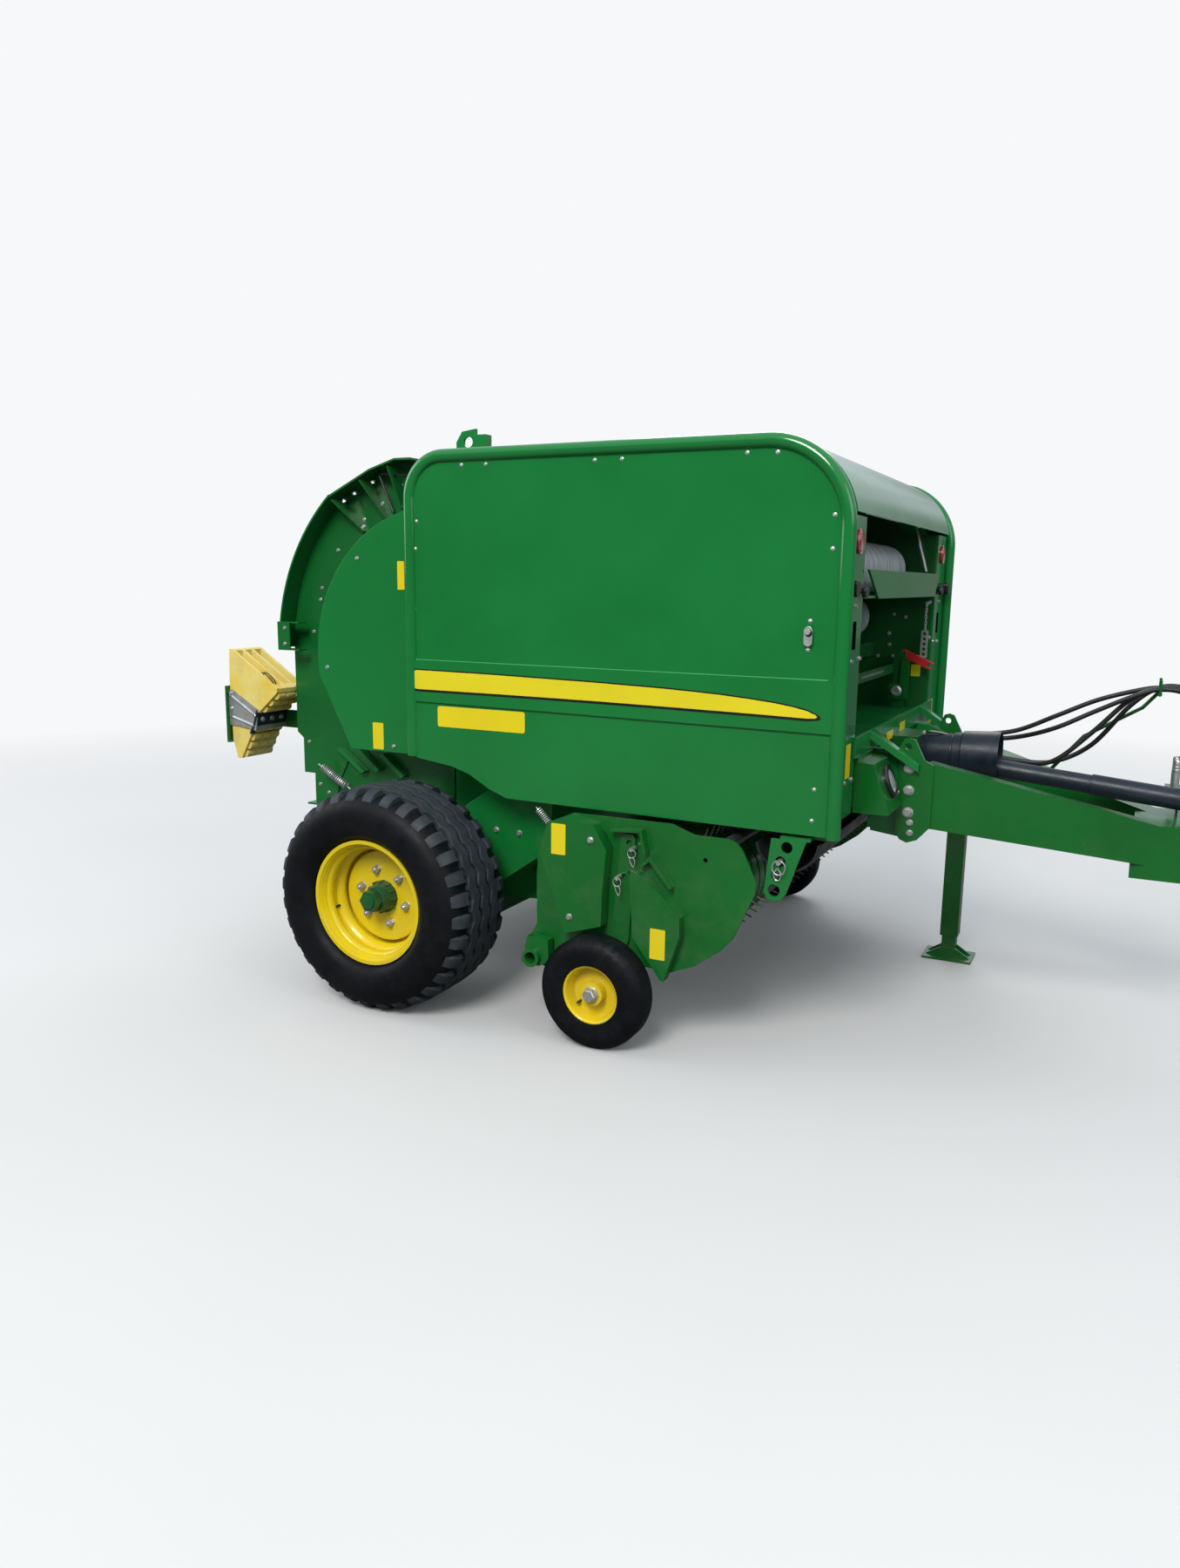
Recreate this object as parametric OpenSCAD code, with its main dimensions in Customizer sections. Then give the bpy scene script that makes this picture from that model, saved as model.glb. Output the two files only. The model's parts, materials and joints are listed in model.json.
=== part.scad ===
// Round baler: a towed hay machine with a fixed bale chamber, a tined pick-up and a rear tailgate.
// Millimetres. X points forward to the tractor, Y to the machine's left, Z up from the ground.
// Drawing plane for side outlines: first number is X from the main axle, second is Z.

/* [Chamber] */
// Width between the chamber's side plates
chamber_w = 1170; // [1000:10:1250]
// Diameter of the finished bale
chamber_d = 1250; // [1000:10:1600]
// Chamber centre, forward of the axle
chamber_x = 30; // [-100:5:200]
// Chamber centre, above the ground
chamber_z = 1180; // [1000:5:1400]
// Diameter of a pressing roller over its ribs
roller_d = 220; // [160:5:260]
// Thickness of the side plates
plate_t = 12; // [6:1:20]

/* [Wheels] */
// Distance between the middles of the main tyres
track_w = 2110; // [1900:10:2300]
// Diameter of a main tyre
tyre_d = 847; // [700:1:1000]
// Width of a main tyre
tyre_w = 390; // [300:5:500]
// Width across the tread
tread_w = 316; // [240:2:400]
// Bead seat diameter of the main rim
rim_d = 432; // [380:2:520]
// Diameter of a gauge wheel
gauge_d = 400; // [300:5:500]
// Width of a gauge wheel
gauge_w = 130; // [90:5:180]
// Gauge wheel centre, forward of the axle
gauge_x = 884; // [800:2:1000]
// Gap between a gauge tyre and the pick-up's side
gauge_gap = 17; // [17:1:60]

/* [Side shields] */
// Height of the shields' top edge
shield_top = 2060; // [1900:5:2200]
// Rear edge of the shields
shield_back = 0; // [-40:5:100]
// Front edge of the shields
shield_front = 1670; // [1500:5:1800]
// Height of the bottom edge
shield_low = 815; // [700:5:950]
// Outer face of the border, out from the centre line
shield_y = 955; // [900:5:1000]

/* [Tailgate] */
// Radius of the tailgate's rim
gate_r = 858; // [800:2:900]
// Outer edge of the rim, out from the centre line
gate_y = 690; // [660:2:740]

/* [Pick-up] */
// Width over the pick-up's side plates
pickup_w = 1984; // [1800:2:2100]
// Reel centre, forward of the axle
reel_x = 1130; // [1050:5:1200]
// Reel centre, above the ground
reel_z = 555; // [450:5:600]
// Radius at the tine tips
reel_r = 240; // [200:5:280]
// Gap between neighbouring tines
tine_pitch = 64; // [50:1:80]

/* [Drawbar] */
// Rear end of the drawbar beams
beam_back = 1850; // [1820:5:1900]
// Front end of the drawbar beams
beam_front = 2600; // [2400:10:2700]
// Middle of the hitch eye
hitch_x = 2930; // [2800:10:3100]
// Height of the hitch eye
hitch_z = 700; // [500:10:800]
// Bore of the hitch eye
hitch_bore = 50; // [40:1:60]
// Height of the jack's pivot, which is also the length of its leg
jack_z = 820; // [700:5:900]
// Inner face of the jack, left of the centre line
jack_y = 470; // [470:5:520]

/* [Hidden] */
$fa = 6;
$fs = 2;
e = 1;
fit = 0.05;

chock_back = 1150;
shelf_z = 880;
eye_r = 56;
// The origin lies under the middle of the machine's length
shift_x = (chock_back - hitch_x - eye_r) / 2;

side_in = chamber_w / 2;
side_out = side_in + plate_t;
roller_r = roller_d / 2;
ring_r = chamber_d / 2 + roller_r;
gauge_y = pickup_w / 2 + gauge_gap + gauge_w / 2;
// Gap between a guard plate and the main tyre beside it
guard_gap = 62;
guard_t = 8;
guard_y = track_w / 2 - tyre_w / 2 - guard_gap - guard_t;
// The rams stand off the side plates
ram_y = side_out + 83;
split_x = -14;
hinge_x = split_x;
hinge_z = 1985;
wheel_r = tyre_d / 2;
shield_hinge_y = 870;
shield_hinge_z = 2050;
rotor_x = 660;
rotor_z = 620;
rotor_r = 190;
front_x = 1640;
opening_y = 670;
green = [0.06, 0.36, 0.12];
dark_green = [0.04, 0.26, 0.09];
yellow = [0.95, 0.82, 0.05];
black = [0.03, 0.03, 0.035];
steel = [0.62, 0.64, 0.66];

// Placing helpers

// Moves a piece from the axle's frame to the machine's origin
module place() {
    translate([shift_x, 0, 0]) children();
}

// Extrudes a side outline between two distances to the right of the centre line
module right_slab(y0, y1) {
    translate([0, -y0, 0]) rotate([90, 0, 0]) linear_extrude(y1 - y0) children();
}

// The same outline on the right and on the left
module both_slabs(y0, y1) {
    right_slab(y0, y1) children();
    mirror([0, 1, 0]) right_slab(y0, y1) children();
}

// A round bar across the machine at x, z between two distances from the centre line
module cross_bar(x, z, r, y0, y1) {
    translate([x, y0, z]) rotate([-90, 0, 0]) cylinder(r = r, h = y1 - y0);
}

// Points of an arc about [x, z] from angle a0 to a1
function arc(x, z, r, a0, a1, n = 12) =
    [for (i = [0 : n]) [x + r * cos(a0 + (a1 - a0) * i / n), z + r * sin(a0 + (a1 - a0) * i / n)]];

module both_sides() {
    children();
    mirror([0, 1, 0]) children();
}

// Chamber rollers: angle of each around the chamber, from the front, upwards
front_angles = [-84, -65, -14, 5, 24, 43, 62, 81];
gate_angles = [for (i = [0 : 8]) 105 + 19 * i];

module roller(angle) {
    ribs = 10;
    tube_r = roller_r - 10;
    translate([chamber_x + ring_r * cos(angle), 0, chamber_z + ring_r * sin(angle)]) {
        rotate([90, 0, 0]) linear_extrude(chamber_w - 16, center = true) {
            circle(r = tube_r);
            for (i = [0 : ribs - 1]) rotate(i * 360 / ribs) translate([tube_r - 2, -5]) square([12, 10]);
        }
        cross_bar(0, 0, 25, -side_in, side_in);
    }
}

module front_rollers() color(green) place() {
    for (a = front_angles) roller(a);
}

module tailgate_rollers() color(green) place() {
    for (a = gate_angles) roller(a);
}

// Front frame

wall_x = 1018;
wall_y = opening_y + 8;
top_z = 2030;
side_outline = [[split_x + 4, top_z], [wall_x - 8, top_z], [wall_x - 8, 900], [870, 800],
    [855, 560], [770, 400], [480, 340], [200, 326], [split_x + 4, 334]];

module side_plates() color(green) place() {
    both_slabs(side_in, side_out) difference() {
        polygon(side_outline);
        translate([rotor_x, rotor_z]) circle(r = 62);
    }
    both_sides() translate([0, -side_out, 0]) rotate([90, 0, 0]) {
        // Tailgate hinge pin
        translate([hinge_x, hinge_z, 0]) cylinder(r = 25, h = 60);
        translate([hinge_x + 60, hinge_z - 70, 0]) linear_extrude(8) square([120, 80]);
        // Roller bearings
        for (a = front_angles) translate([around(a, ring_r)[0], around(a, ring_r)[1],
            0]) cylinder(r = 55, h = 34);
        // Bearing of the feed rotor
        translate([rotor_x, rotor_z, -plate_t]) difference() {
            cylinder(r = 80, h = 40);
            translate([0, 0, -e]) cylinder(r = 30 + fit, h = 36);
        }
    }
}

// Pins of the rams, and the stub axles that the pick-up swings on
module frame_pins() color(dark_green) place() {
    both_sides() translate([0, -side_out, 0]) rotate([90, 0, 0]) {
        translate([ram_x, ram_z, 0]) cylinder(r = 15, h = ram_y + 29 - side_out);
        translate([ram_x, ram_z, 0]) cylinder(r = 40, h = ram_y - 33 - side_out);
        translate([rotor_x, rotor_z, 28]) cylinder(r = 30, h = pickup_w / 2 - side_out - 28);
    }
}

// Guard plates ahead of the main wheels, each on two studs
module side_guards() color(green) place() {
    both_sides() {
        right_slab(guard_y, guard_y + guard_t) polygon([[166, 733], [301, 824], [560, 824],
            [549, 698], [503, 574], [334, 453]]);
        for (x = [310, 417]) translate([x, -side_out, 654]) rotate([90, 0, 0]) cylinder(r = 12,
            h = guard_y - side_out);
    }
}

module cross_beams() color(dark_green) place() {
    y = side_in;
    // Wall ahead of the chamber, top beam and the net box's side walls
    translate([wall_x - 8, -wall_y, 860]) cube([8, 2 * wall_y, top_z - 860]);
    translate([wall_x, -wall_y, top_z - 80]) cube([60, 2 * wall_y, 80]);
    translate([1500, -opening_y, 880]) cube([100, 2 * opening_y, 110]);
    translate([1600, -opening_y, 860]) cube([front_x - 1600, 2 * opening_y, 8]);
    translate([front_x - 8, -wall_y, 860]) cube([8, 2 * wall_y, 200]);
    both_slabs(opening_y, wall_y) polygon([[wall_x, top_z], [1330, top_z], [1500, 1815],
        [front_x - 8, 1815],
        [front_x - 8, 840], [1500, 840], [wall_x, 860]]);
    // Shelf under the net roll, upright and bearing beside the lever
    translate([1380, -opening_y, 1290]) cube([8, 2 * opening_y, 60]);
    translate([1500, 586, 1068]) cube([50, 8, 250]);
    cross_bar(1525, 1140, 34, 572, 586);
    cross_bar(1525, 1140, 12, 594, opening_y);
    // Floor under the feed rotor
    right_slab(-y, y) polygon(concat(arc(rotor_x, rotor_z, rotor_r + 22, 215, 310, 10),
        arc(rotor_x, rotor_z, rotor_r + 14, 310, 215, 10)));
}

module roof() color(green) place() {
    y = 845;
    translate([40, -y, top_z]) cube([hood_pin_x - 26 - 40, 2 * y, 8]);
    // Hinge arms and pins for the side shields
    both_sides() for (x = [250, 950]) {
        translate([x, -shield_hinge_y, top_z + 8]) cube([60, 60, 12]);
        translate([x, -shield_hinge_y, shield_hinge_z]) rotate([0, 90, 0]) cylinder(r = 8, h = 140);
        translate([x, -shield_hinge_y, shield_hinge_z]) rotate([0, 90, 0]) cylinder(r = 14, h = 60);
    }
    // Hinge pins of the hood, each in a lug
    both_sides() {
        cross_bar(hood_pin_x, hood_pin_z, 8, 620, 760);
        cross_bar(hood_pin_x, hood_pin_z, 14, 700, 760);
        translate([hood_pin_x - 30, 700, top_z]) cube([30, 60, 16]);
    }
    // Lifting bracket
    right_slab(640, 652) difference() {
        polygon([[44, top_z], [44, 2120], [70, 2158], [134, 2166], [134, top_z]]);
        translate([98, 2118]) circle(r = 20);
    }
    translate([134, -665, top_z]) cube([53, 40, 112]);
}

module front_posts() color(green) place() {
    both_sides() {
        translate([front_x - 8, -880, 840]) cube([8, 880 - wall_y, 975]);
        translate([front_x - 68, -880, 780]) cube([60, 8, 1035]);
        // Hanger plate for the raised pick-up
        translate([1480, -950, 786]) cube([100, 78, 10]);
        right_slab(940, 950) difference() {
            polygon([[1450, 786], [1567, 786], [1505, 600], [1490, 582], [1464, 575], [1442, 582],
                [1431, 604]]);
            for (h = [[1503, 760, 19], [1484, 712, 17], [1470, 664, 17], [1465, 612, 21]])
                translate([h[0], h[1]]) circle(r = h[2]);
        }
    }
}

module platform() color(green) place() {
    y = 708;
    translate([wall_x, -opening_y, 1060]) cube([front_x - wall_x, 2 * opening_y, 8]);
    translate([front_x, -y, 1030]) cube([12, 2 * y, 72]);
    both_sides() {
        // Bracket plate and folded gusset that carry the drawbar
        translate([front_x, -415, 740]) cube([12, 16, 290]);
        right_slab(plate_y - 16, plate_y) polygon([[front_x + 12, 730], [front_x + 12, 1030],
            [1700, 1030],
            [1835, 960], [1835, 730], [1800, 712]]);
        intersection() {
            right_slab(420, 510) polygon([[front_x + 12, 1102], [front_x + 12, 1072], [1815, 960],
                [1815, 988]]);
            union() {
                linear_extrude(1200) polygon([[front_x + 12, -500], [front_x + 12, -492],
                    [1815, -450], [1815, -458]]);
                linear_extrude(1200) polygon([[front_x + 12, -440], [front_x + 12, -433],
                    [1815, -433], [1815, -440]]);
                right_slab(433, 500) polygon([[front_x + 12, 1102], [front_x + 12, 1094],
                    [1815, 980], [1815, 988]]);
            }
            linear_extrude(1200) polygon([[front_x + 12, -500], [front_x + 12, -433], [1815, -433],
                [1815, -458]]);
        }
    }
}

module axle() color(green) place() {
    translate([60, -830, 225]) cube([100, 1660, 100]);
    both_sides() {
        right_slab(800, 830) hull() {
            translate([110, 275]) circle(r = 60, $fn = 32);
            translate([0, wheel_r]) circle(r = 60, $fn = 32);
        }
        cross_bar(0, wheel_r, 30, -track_w / 2 - 60, -830);
        cross_bar(0, wheel_r, 42, -900, -830);
        translate([50, -side_out - 40, 325]) cube([120, 40, 60]);
    }
}

// Drawbar and driveline

plate_y = 415;
beam_y = 365;
beam_angle = atan2(beam_y - 110, beam_front - beam_back);
beam_length = norm([beam_y - 110, beam_front - beam_back]);

// A bent round rod through a list of points
module rod(points, r) {
    for (i = [0 : len(points) - 2]) {
        d = points[i + 1] - points[i];
        translate(points[i]) rotate([0, acos(d[2] / norm(d)), atan2(d[1], d[0])])
            translate([0, 0, -r / 2]) cylinder(r = r, h = norm(d) + r);
    }
}

module drawbar() color(green) place() {
    both_sides() {
        // Beam, cut square where it meets its end plate
        difference() {
            translate([beam_back, -beam_y, 0]) rotate([0, 0, beam_angle]) rotate([90, 0,
                0]) translate([0, 0, -50])
                linear_extrude(100) polygon([[-30, 760], [-30, 994], [beam_length, 790],
                    [beam_length, 650]]);
            translate([beam_back - 110, -500, 600]) cube([100, 500, 500]);
        }
        // End plate with its ear
        right_slab(plate_y, plate_y + 16) difference() {
            polygon([[1744, 735], [1744, 1045], [1756, 1070], [1775, 1076], [1794, 1070],
                [1830, 1000], [1862, 985],
                [1862, 764], [1820, 715], [1785, 702], [1760, 712]]);
            translate([1772, 1046]) circle(r = 12);
        }
    }
    // Head plates that carry the hitch
    both_sides() translate([2500, -180, 610]) cube([190, 16, 190]);
    translate([2500, -180, 790]) cube([150, 360, 12]);
    translate([2500, -180, 610]) cube([12, 360, 150]);
    // Bent rod with a bar the hoses lie on
    rod([[2180, 243, 885], [2240, 228, 965], [2302, 228, 1044], [2490, 228, 1164], [2541, 228, 1227]], 7);
    cross_bar(2541, 1227, 7, 80, 234);
    for (y = [84, 217]) translate([2541, y, 1227]) cylinder(r = 5, h = 50);
    // Shelf that the couplers are parked in
    translate([2630, 100, 790]) cube([8, 60, shelf_z - 790]);
    difference() {
        translate([2590, 80, shelf_z]) cube([70, 140, 8]);
        for (y = hose_y) translate([2620, y, shelf_z - e]) cylinder(r = 9, h = 10);
    }
    // Bracket for the jack
    translate([1800, plate_y + 16, jack_z - 60]) cube([60, 12, 120]);
    cross_bar(1830, jack_z, 15, plate_y + 16, jack_y + 90);
}

module hitch_eye() color(dark_green) place() {
    translate([2670, -30, hitch_z - 30]) cube([hitch_x - 2670 - 36, 60, 60]);
    translate([2620, -164, 640]) cube([60, 328, 120]);
    translate([hitch_x, 0, hitch_z]) rotate_extrude() polygon([[hitch_bore / 2, -20], [eye_r - 8, -20],
        [eye_r, -12], [eye_r, 12], [eye_r - 8, 20], [hitch_bore / 2, 20]]);
}

module gearbox() color(dark_green) place() {
    translate([front_x + 12, -120, 865]) cube([93, 240, 175]);
    along_pto() translate([0, 0, -50]) cylinder(r = 27, h = 50);
}

pto_slope = 5.5;
pto_x = 1790;
pto_z = 951;
guard_x = 1745;
guard_z = 975;

module along_pto() {
    translate([pto_x, 0, pto_z]) rotate([0, 90 + pto_slope, 0]) children();
}

module pto_guard() color(black) place() {
    translate([guard_x, 0, guard_z]) rotate([0, 90, 0]) rotate_extrude() polygon([[50, 0], [58, 0],
        [66, 30],
        [73, 108], [69, 110], [69, 116], [76, 118], [79, 148], [85, 151], [92, 285], [86, 285], [79, 157],
        [73, 154], [70, 124], [63, 122], [63, 104], [60, 34], [52, 8], [50, 8]]);
}

module pto_shaft() color(black) place() {
    along_pto() {
        cylinder(r = 25, h = 190);
        translate([0, 0, 180]) cylinder(r = 34, h = 380);
        translate([0, 0, 560]) cylinder(r = 38, h = 440);
        translate([0, 0, 1000]) difference() {
            union() {
                cylinder(r = 46, h = 60);
                cylinder(r = 32, h = 160);
            }
            translate([0, 0, 60]) cylinder(r = 17.5, h = 101);
        }
    }
}

// Net wrap

module net_tray() color(green) place() {
    y = opening_y;
    translate([1240, -y, 1556]) cube([front_x + 4 - 1240, 2 * y, 8]);
    translate([front_x + 4, 0, 0]) rotate([90, 0, 90]) linear_extrude(8) polygon([[-655, 1650],
        [655, 1650],
        [610, 1554], [-490, 1554]]);
}

module net_rolls() color([0.88, 0.9, 0.9]) place() {
    cross_bar(1420, 1564 + 120, 120, -625, 625);
    cross_bar(1290, 1460, 90, -600, 600);
    cross_bar(1290, 1460, 20, -opening_y, opening_y);
}

module net_feed() color(steel) place() {
    rollers = [[1130, 1330, 40], [1130, 1240, 32], [1230, 1150, 24]];
    for (r = rollers) {
        cross_bar(r[0], r[1], r[2], -side_in, side_in);
        cross_bar(r[0], r[1], 12, -opening_y, opening_y);
    }
    // Perforated bar on its chain
    difference() {
        translate([1600, 630, 1290]) cube([30, 6, 118]);
        for (z = [1305 : 22 : 1400]) cross_bar(1615, z, 7, 629, 637);
    }
    for (i = [0 : 8]) translate([1615, 633, 1401 + 14 * i]) rotate([0, 0, 90 * (i % 2)]) link();
    cross_bar(1615, 1524, 5, 620, opening_y);
}

// One long chain link
module link() {
    for (x = [-4, 4]) translate([x, 0, 0]) cylinder(r = 1.8, h = 18);
    for (z = [0, 18]) translate([-4, 0, z]) rotate([0, 90, 0]) cylinder(r = 1.8, h = 8);
}

module net_lever() color([0.75, 0.05, 0.04]) place() {
    p = [1540, 1307];
    right_slab(-612, -604) difference() {
        union() {
            translate(p) circle(r = 19);
            translate(p) rotate(-24) translate([0, -17]) square([132, 34]);
        }
        translate(p) rotate(-24) translate([108, -7]) square([30, 14]);
    }
    cross_bar(p[0], p[1], 9, 594, 620);
}

module light_boxes() color(green) place() {
    both_sides() right_slab(440, 660) polygon([[front_x + 12, 838], [front_x + 12, 1013],
        [1705, 1009], [1764, 842], [1758, 838]]);
    both_sides() translate([front_x, -660, 838]) cube([12, 220, 192]);
}

module lamps() color([0.75, 0.06, 0.05]) place() {
    both_sides() {
        translate([front_x, -780, 1735]) rotate([0, 90, 0]) cylinder(r = 32, h = 14);
    }
}

// Hoses

// Lanes of the hoses, left of the centre line
hose_y = [100, 128, 172, 200];

module hose_ports() color(steel) place() {
    // Block of ports on the front panel
    translate([front_x + 12, 125, 960]) cube([20, 110, 60]);
    for (y = [140, 166, 192, 218]) translate([front_x + 32, y, 990]) rotate([0, 90,
        0]) cylinder(r = 11, h = 30);
    // Parked couplers
    for (y = hose_y) translate([2620, y, 0]) {
        translate([0, 0, shelf_z - 30]) cylinder(r = 8.5, h = 40);
        translate([0, 0, shelf_z + 8]) cylinder(r = 13, h = 62);
    }
}

// Control points of the hoses, forward of the axle
hose_r = 9;
hose_sides = 8;
hose_steps = 5;
hose_x = [1702.5, 1760, 1900, 2060, 2200, 2330, 2450, 2541, 2630, 2690, 2706, 2680, 2640, 2620, 2620];
// Height of each control point, one row a hose
hose_z = [[990, 990, 1010, 1030, 1080, 1150, 1212, 1244, 1232, 1175, 1098, 1035, 995, 970, 950.5],
    [990, 990, 966, 935, 950, 1070, 1203, 1244, 1237, 1183, 1104, 1038, 996, 970, 950.5],
    [990, 990, 1022, 1052, 1120, 1185, 1226, 1244, 1226, 1169, 1094, 1032, 994, 970, 950.5],
    [990, 990, 960, 936, 940, 1015, 1173, 1244, 1242, 1190, 1110, 1042, 998, 970, 950.5]];

function lane(i, k) = k < 2 ? 140 + 26 * i : k < 4 ? [150, 168, 186, 200][i] : hose_y[i];
function route(i) = [for (k = [0 : len(hose_x) - 1]) [hose_x[k], lane(i, k), hose_z[i][k]]];
function spline(a, b, c, d, t) = 0.5 * (2 * b + (c - a) * t + (2 * a - 5 * b + 4 * c - d) * t * t
    + (3 * b - a - 3 * c + d) * t * t * t);
function smooth(p) = [for (k = [0 : len(p) - 2], s = [0 : hose_steps - (k < len(p) - 2 ? 1 : 0)])
    spline(p[max(k - 1, 0)], p[k], p[k + 1], p[min(k + 2, len(p) - 1)], s / hose_steps)];
function unit(v) = v / norm(v);
function across(t) = unit(cross(t, [0, 1, 0]));
function ring(p, t) = let (u = across(t), v = cross(t, u))
    [for (j = [0 : hose_sides - 1]) p + hose_r * (u * cos(360 * j / hose_sides) + v * sin(360 * j /
        hose_sides))];

module hose(i) color(black) place() {
    p = smooth(route(i - 1));
    n = len(p);
    t = [for (k = [0 : n - 1]) k == 0 ? [1, 0, 0] : k == n - 1 ? [0, 0, -1] : unit(p[k + 1] - p[k - 1])];
    m = hose_sides;
    polyhedron(points = [for (k = [0 : n - 1]) each ring(p[k], t[k])],
        faces = concat([[for (j = [0 : m - 1]) j]], [[for (j = [m - 1 : -1 : 0]) (n - 1) * m + j]],
        [for (k = [0 : n - 2], j = [0 : m - 1]) [k * m + j, (k + 1) * m + j,
            (k + 1) * m + (j + 1) % m, k * m + (j + 1) % m]]));
}

// Tailgate

// A roller's place, or a tube's, at an angle around the chamber
function around(angle, r) = [chamber_x + r * cos(angle), chamber_z + r * sin(angle)];

rim_x = 5;
rim_z = 1290;
rim_a = 131;
cut_a = 179;

// Radial rib between the side sheet and the rim, from point a at the rim to point b
module rim_rib(a, b) {
    length = norm(b - a);
    translate([a[0], -side_out, a[1]]) rotate([0, -atan2(b[1] - a[1], b[0] - a[0]),
        0]) linear_extrude(6, center = true)
        polygon([[0, 0], [length, 0], [length, -18], [0, side_out - gate_y + 2]]);
}

module tailgate_sides() color(green) place() {
    both_slabs(side_in, side_out) polygon(concat([[split_x - 4, 1925], [split_x - 60, 1940],
        [-150, 2060], [-225, 2060],
        [-350, 2023]], arc(rim_x, rim_z, gate_r - 4, rim_a, cut_a, 16), [[-849, 930]],
        arc(chamber_x, chamber_z, 835, 204, 266.8, 18)));
    both_sides() {
        // Rim and its straight top
        right_slab(side_out - e, gate_y) polygon(concat(arc(rim_x, rim_z, gate_r, rim_a, cut_a, 20),
            arc(rim_x, rim_z, gate_r - 8, cut_a, rim_a, 20)));
        rim_rib([-546, 1916], [-444, 1792]);
        rim_rib([-402, 1990], [-320, 1831]);
        rim_rib([-262, 2040], [-243, 1870]);
        // Bracket on the rim
        right_slab(gate_y, gate_y + 6) polygon([[-852, 1295], [-852, 1416], [-786, 1416], [-786, 1295]]);
        for (z = [1295, 1410]) translate([-846, -gate_y - e, z]) cube([104, 50, 6]);
        // Hinge ears
        difference() {
            right_slab(side_out + 10, side_out + 30) {
                translate([hinge_x, hinge_z]) circle(r = 46);
                polygon([[hinge_x - 5, hinge_z + 44], [-240, 1890], [-150, 1790],
                    [hinge_x + 30, hinge_z - 30]]);
            }
            cross_bar(hinge_x, hinge_z, 25 + fit, -side_out - 40, -side_out);
        }
        translate([-220, -side_out - 10 - e, 1800]) cube([70, 10 + 2 * e, 80]);
        // Boss behind the ram's upper eye
        translate([ram_top_x, -side_out + e, ram_top_z]) rotate([90, 0, 0]) cylinder(r = 34,
            h = ram_y - 23 - side_out);
        // Foot at the lower rear
        right_slab(side_out, side_out + 8) polygon([[-809, 752], [-809, 916], [-585, 880],
            [-551, 848], [-611, 731],
            [-636, 645], [-637, 622], [-750, 630], [-750, 752]]);
        translate([-752, -side_out - 60, 622]) cube([120, 60, 8]);
    }
    // Top sheet across the machine
    right_slab(-gate_y, gate_y) polygon([[-558, 1934], [-350, 2031], [-225, 2068], [-150, 2068],
        [-150, 2060], [-225, 2060],
        [-350, 2023], [-555, 1926]]);
}

cover_y = 780;

module tailgate_covers() color(green) place() {
    both_sides() {
        right_slab(cover_y, cover_y + 8) polygon(concat(arc(chamber_x, rim_z, 585, 94.7, 188, 20),
            [[-395, 914],
            [split_x - 6, 914]]));
        for (p = [[-400, 1500], [-420, 1040], [-100, 1350]])
            translate([p[0], -side_out, p[1]]) rotate([90, 0, 0]) cylinder(r = 14,
                h = cover_y - side_out);
    }
}

module tailgate_bars() color(dark_green) place() {
    for (i = [1, 3, 5, 7]) {
        p = around(gate_angles[i] + 9.5, 800);
        cross_bar(p[0], p[1], 28, -side_in, side_in);
    }
    // Rear channel, and the arm and plate that carry the wheel chocks
    translate([-846, -side_in, 930]) cube([56, 2 * side_in, 80]);
    translate([-1150, -512, 930]) cube([304, 12, 80]);
    translate([-1150, -720, 874]) cube([8, 220, 252]);
    translate([-1142, -720, 874]) cube([8, 200, 8]);
}

module chock_holder() color(steel) place() {
    // Strap over the chocks' outer side
    right_slab(700, 706) polygon([[-1142, 1105], [-1120, 1110], [-975, 1030], [-990, 935],
        [-1105, 950], [-1142, 950]]);
    translate([-998, -706, 935]) cube([8, 194, 20]);
}

module wheel_chocks() color(yellow) place() {
    difference() {
        right_slab(518, 700) polygon([[-1140, 1150], [-1134, 1288], [-1116, 1288], [-866, 1128],
            [-866, 1108],
            [-972, 1018], [-1000, 960], [-1086, 804], [-1110, 804], [-1134, 884]]);
        for (y = [532, 587, 642]) {
            right_slab(y, y + 44) polygon([[-1108, 1300], [-872, 1150], [-915, 1105], [-1108, 1220]]);
            right_slab(y, y + 44) polygon([[-1010, 880], [-1035, 950], [-1105, 890], [-1092, 820],
                [-1040, 800]]);
        }
    }
}

// Side shields and hood

bead_r = 24;
rear_corner = 170;
front_corner = 290;
panel_y = 929;

// Lower edge of the shields, with the arch over the main wheel
low_edge = [[shield_front, shield_low - 10], [1600, shield_low - 4], [440, shield_low], [364, 843],
    [277, 891],
    [199, 914], [41, 934]];

module shield_outline() {
    polygon(concat([[shield_back + bead_r, 940], [shield_back + bead_r, shield_top - rear_corner]],
        arc(shield_back + rear_corner, shield_top - rear_corner, rear_corner - bead_r, 180, 90, 10),
        arc(shield_front - front_corner, shield_top - front_corner, front_corner - bead_r, 90, 0, 12),
        [[shield_front - bead_r, shield_low - 10]], [for (i = [1 : 6]) low_edge[i]]));
}

// Quarter of a round bead about [x, z], from angle a
module bead_corner(x, z, r, a) {
    translate([x, 0, z]) rotate([90, 0, 0]) rotate([0, 0, a]) rotate_extrude(angle = 90) translate([r,
        0]) circle(r = bead_r);
}

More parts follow.
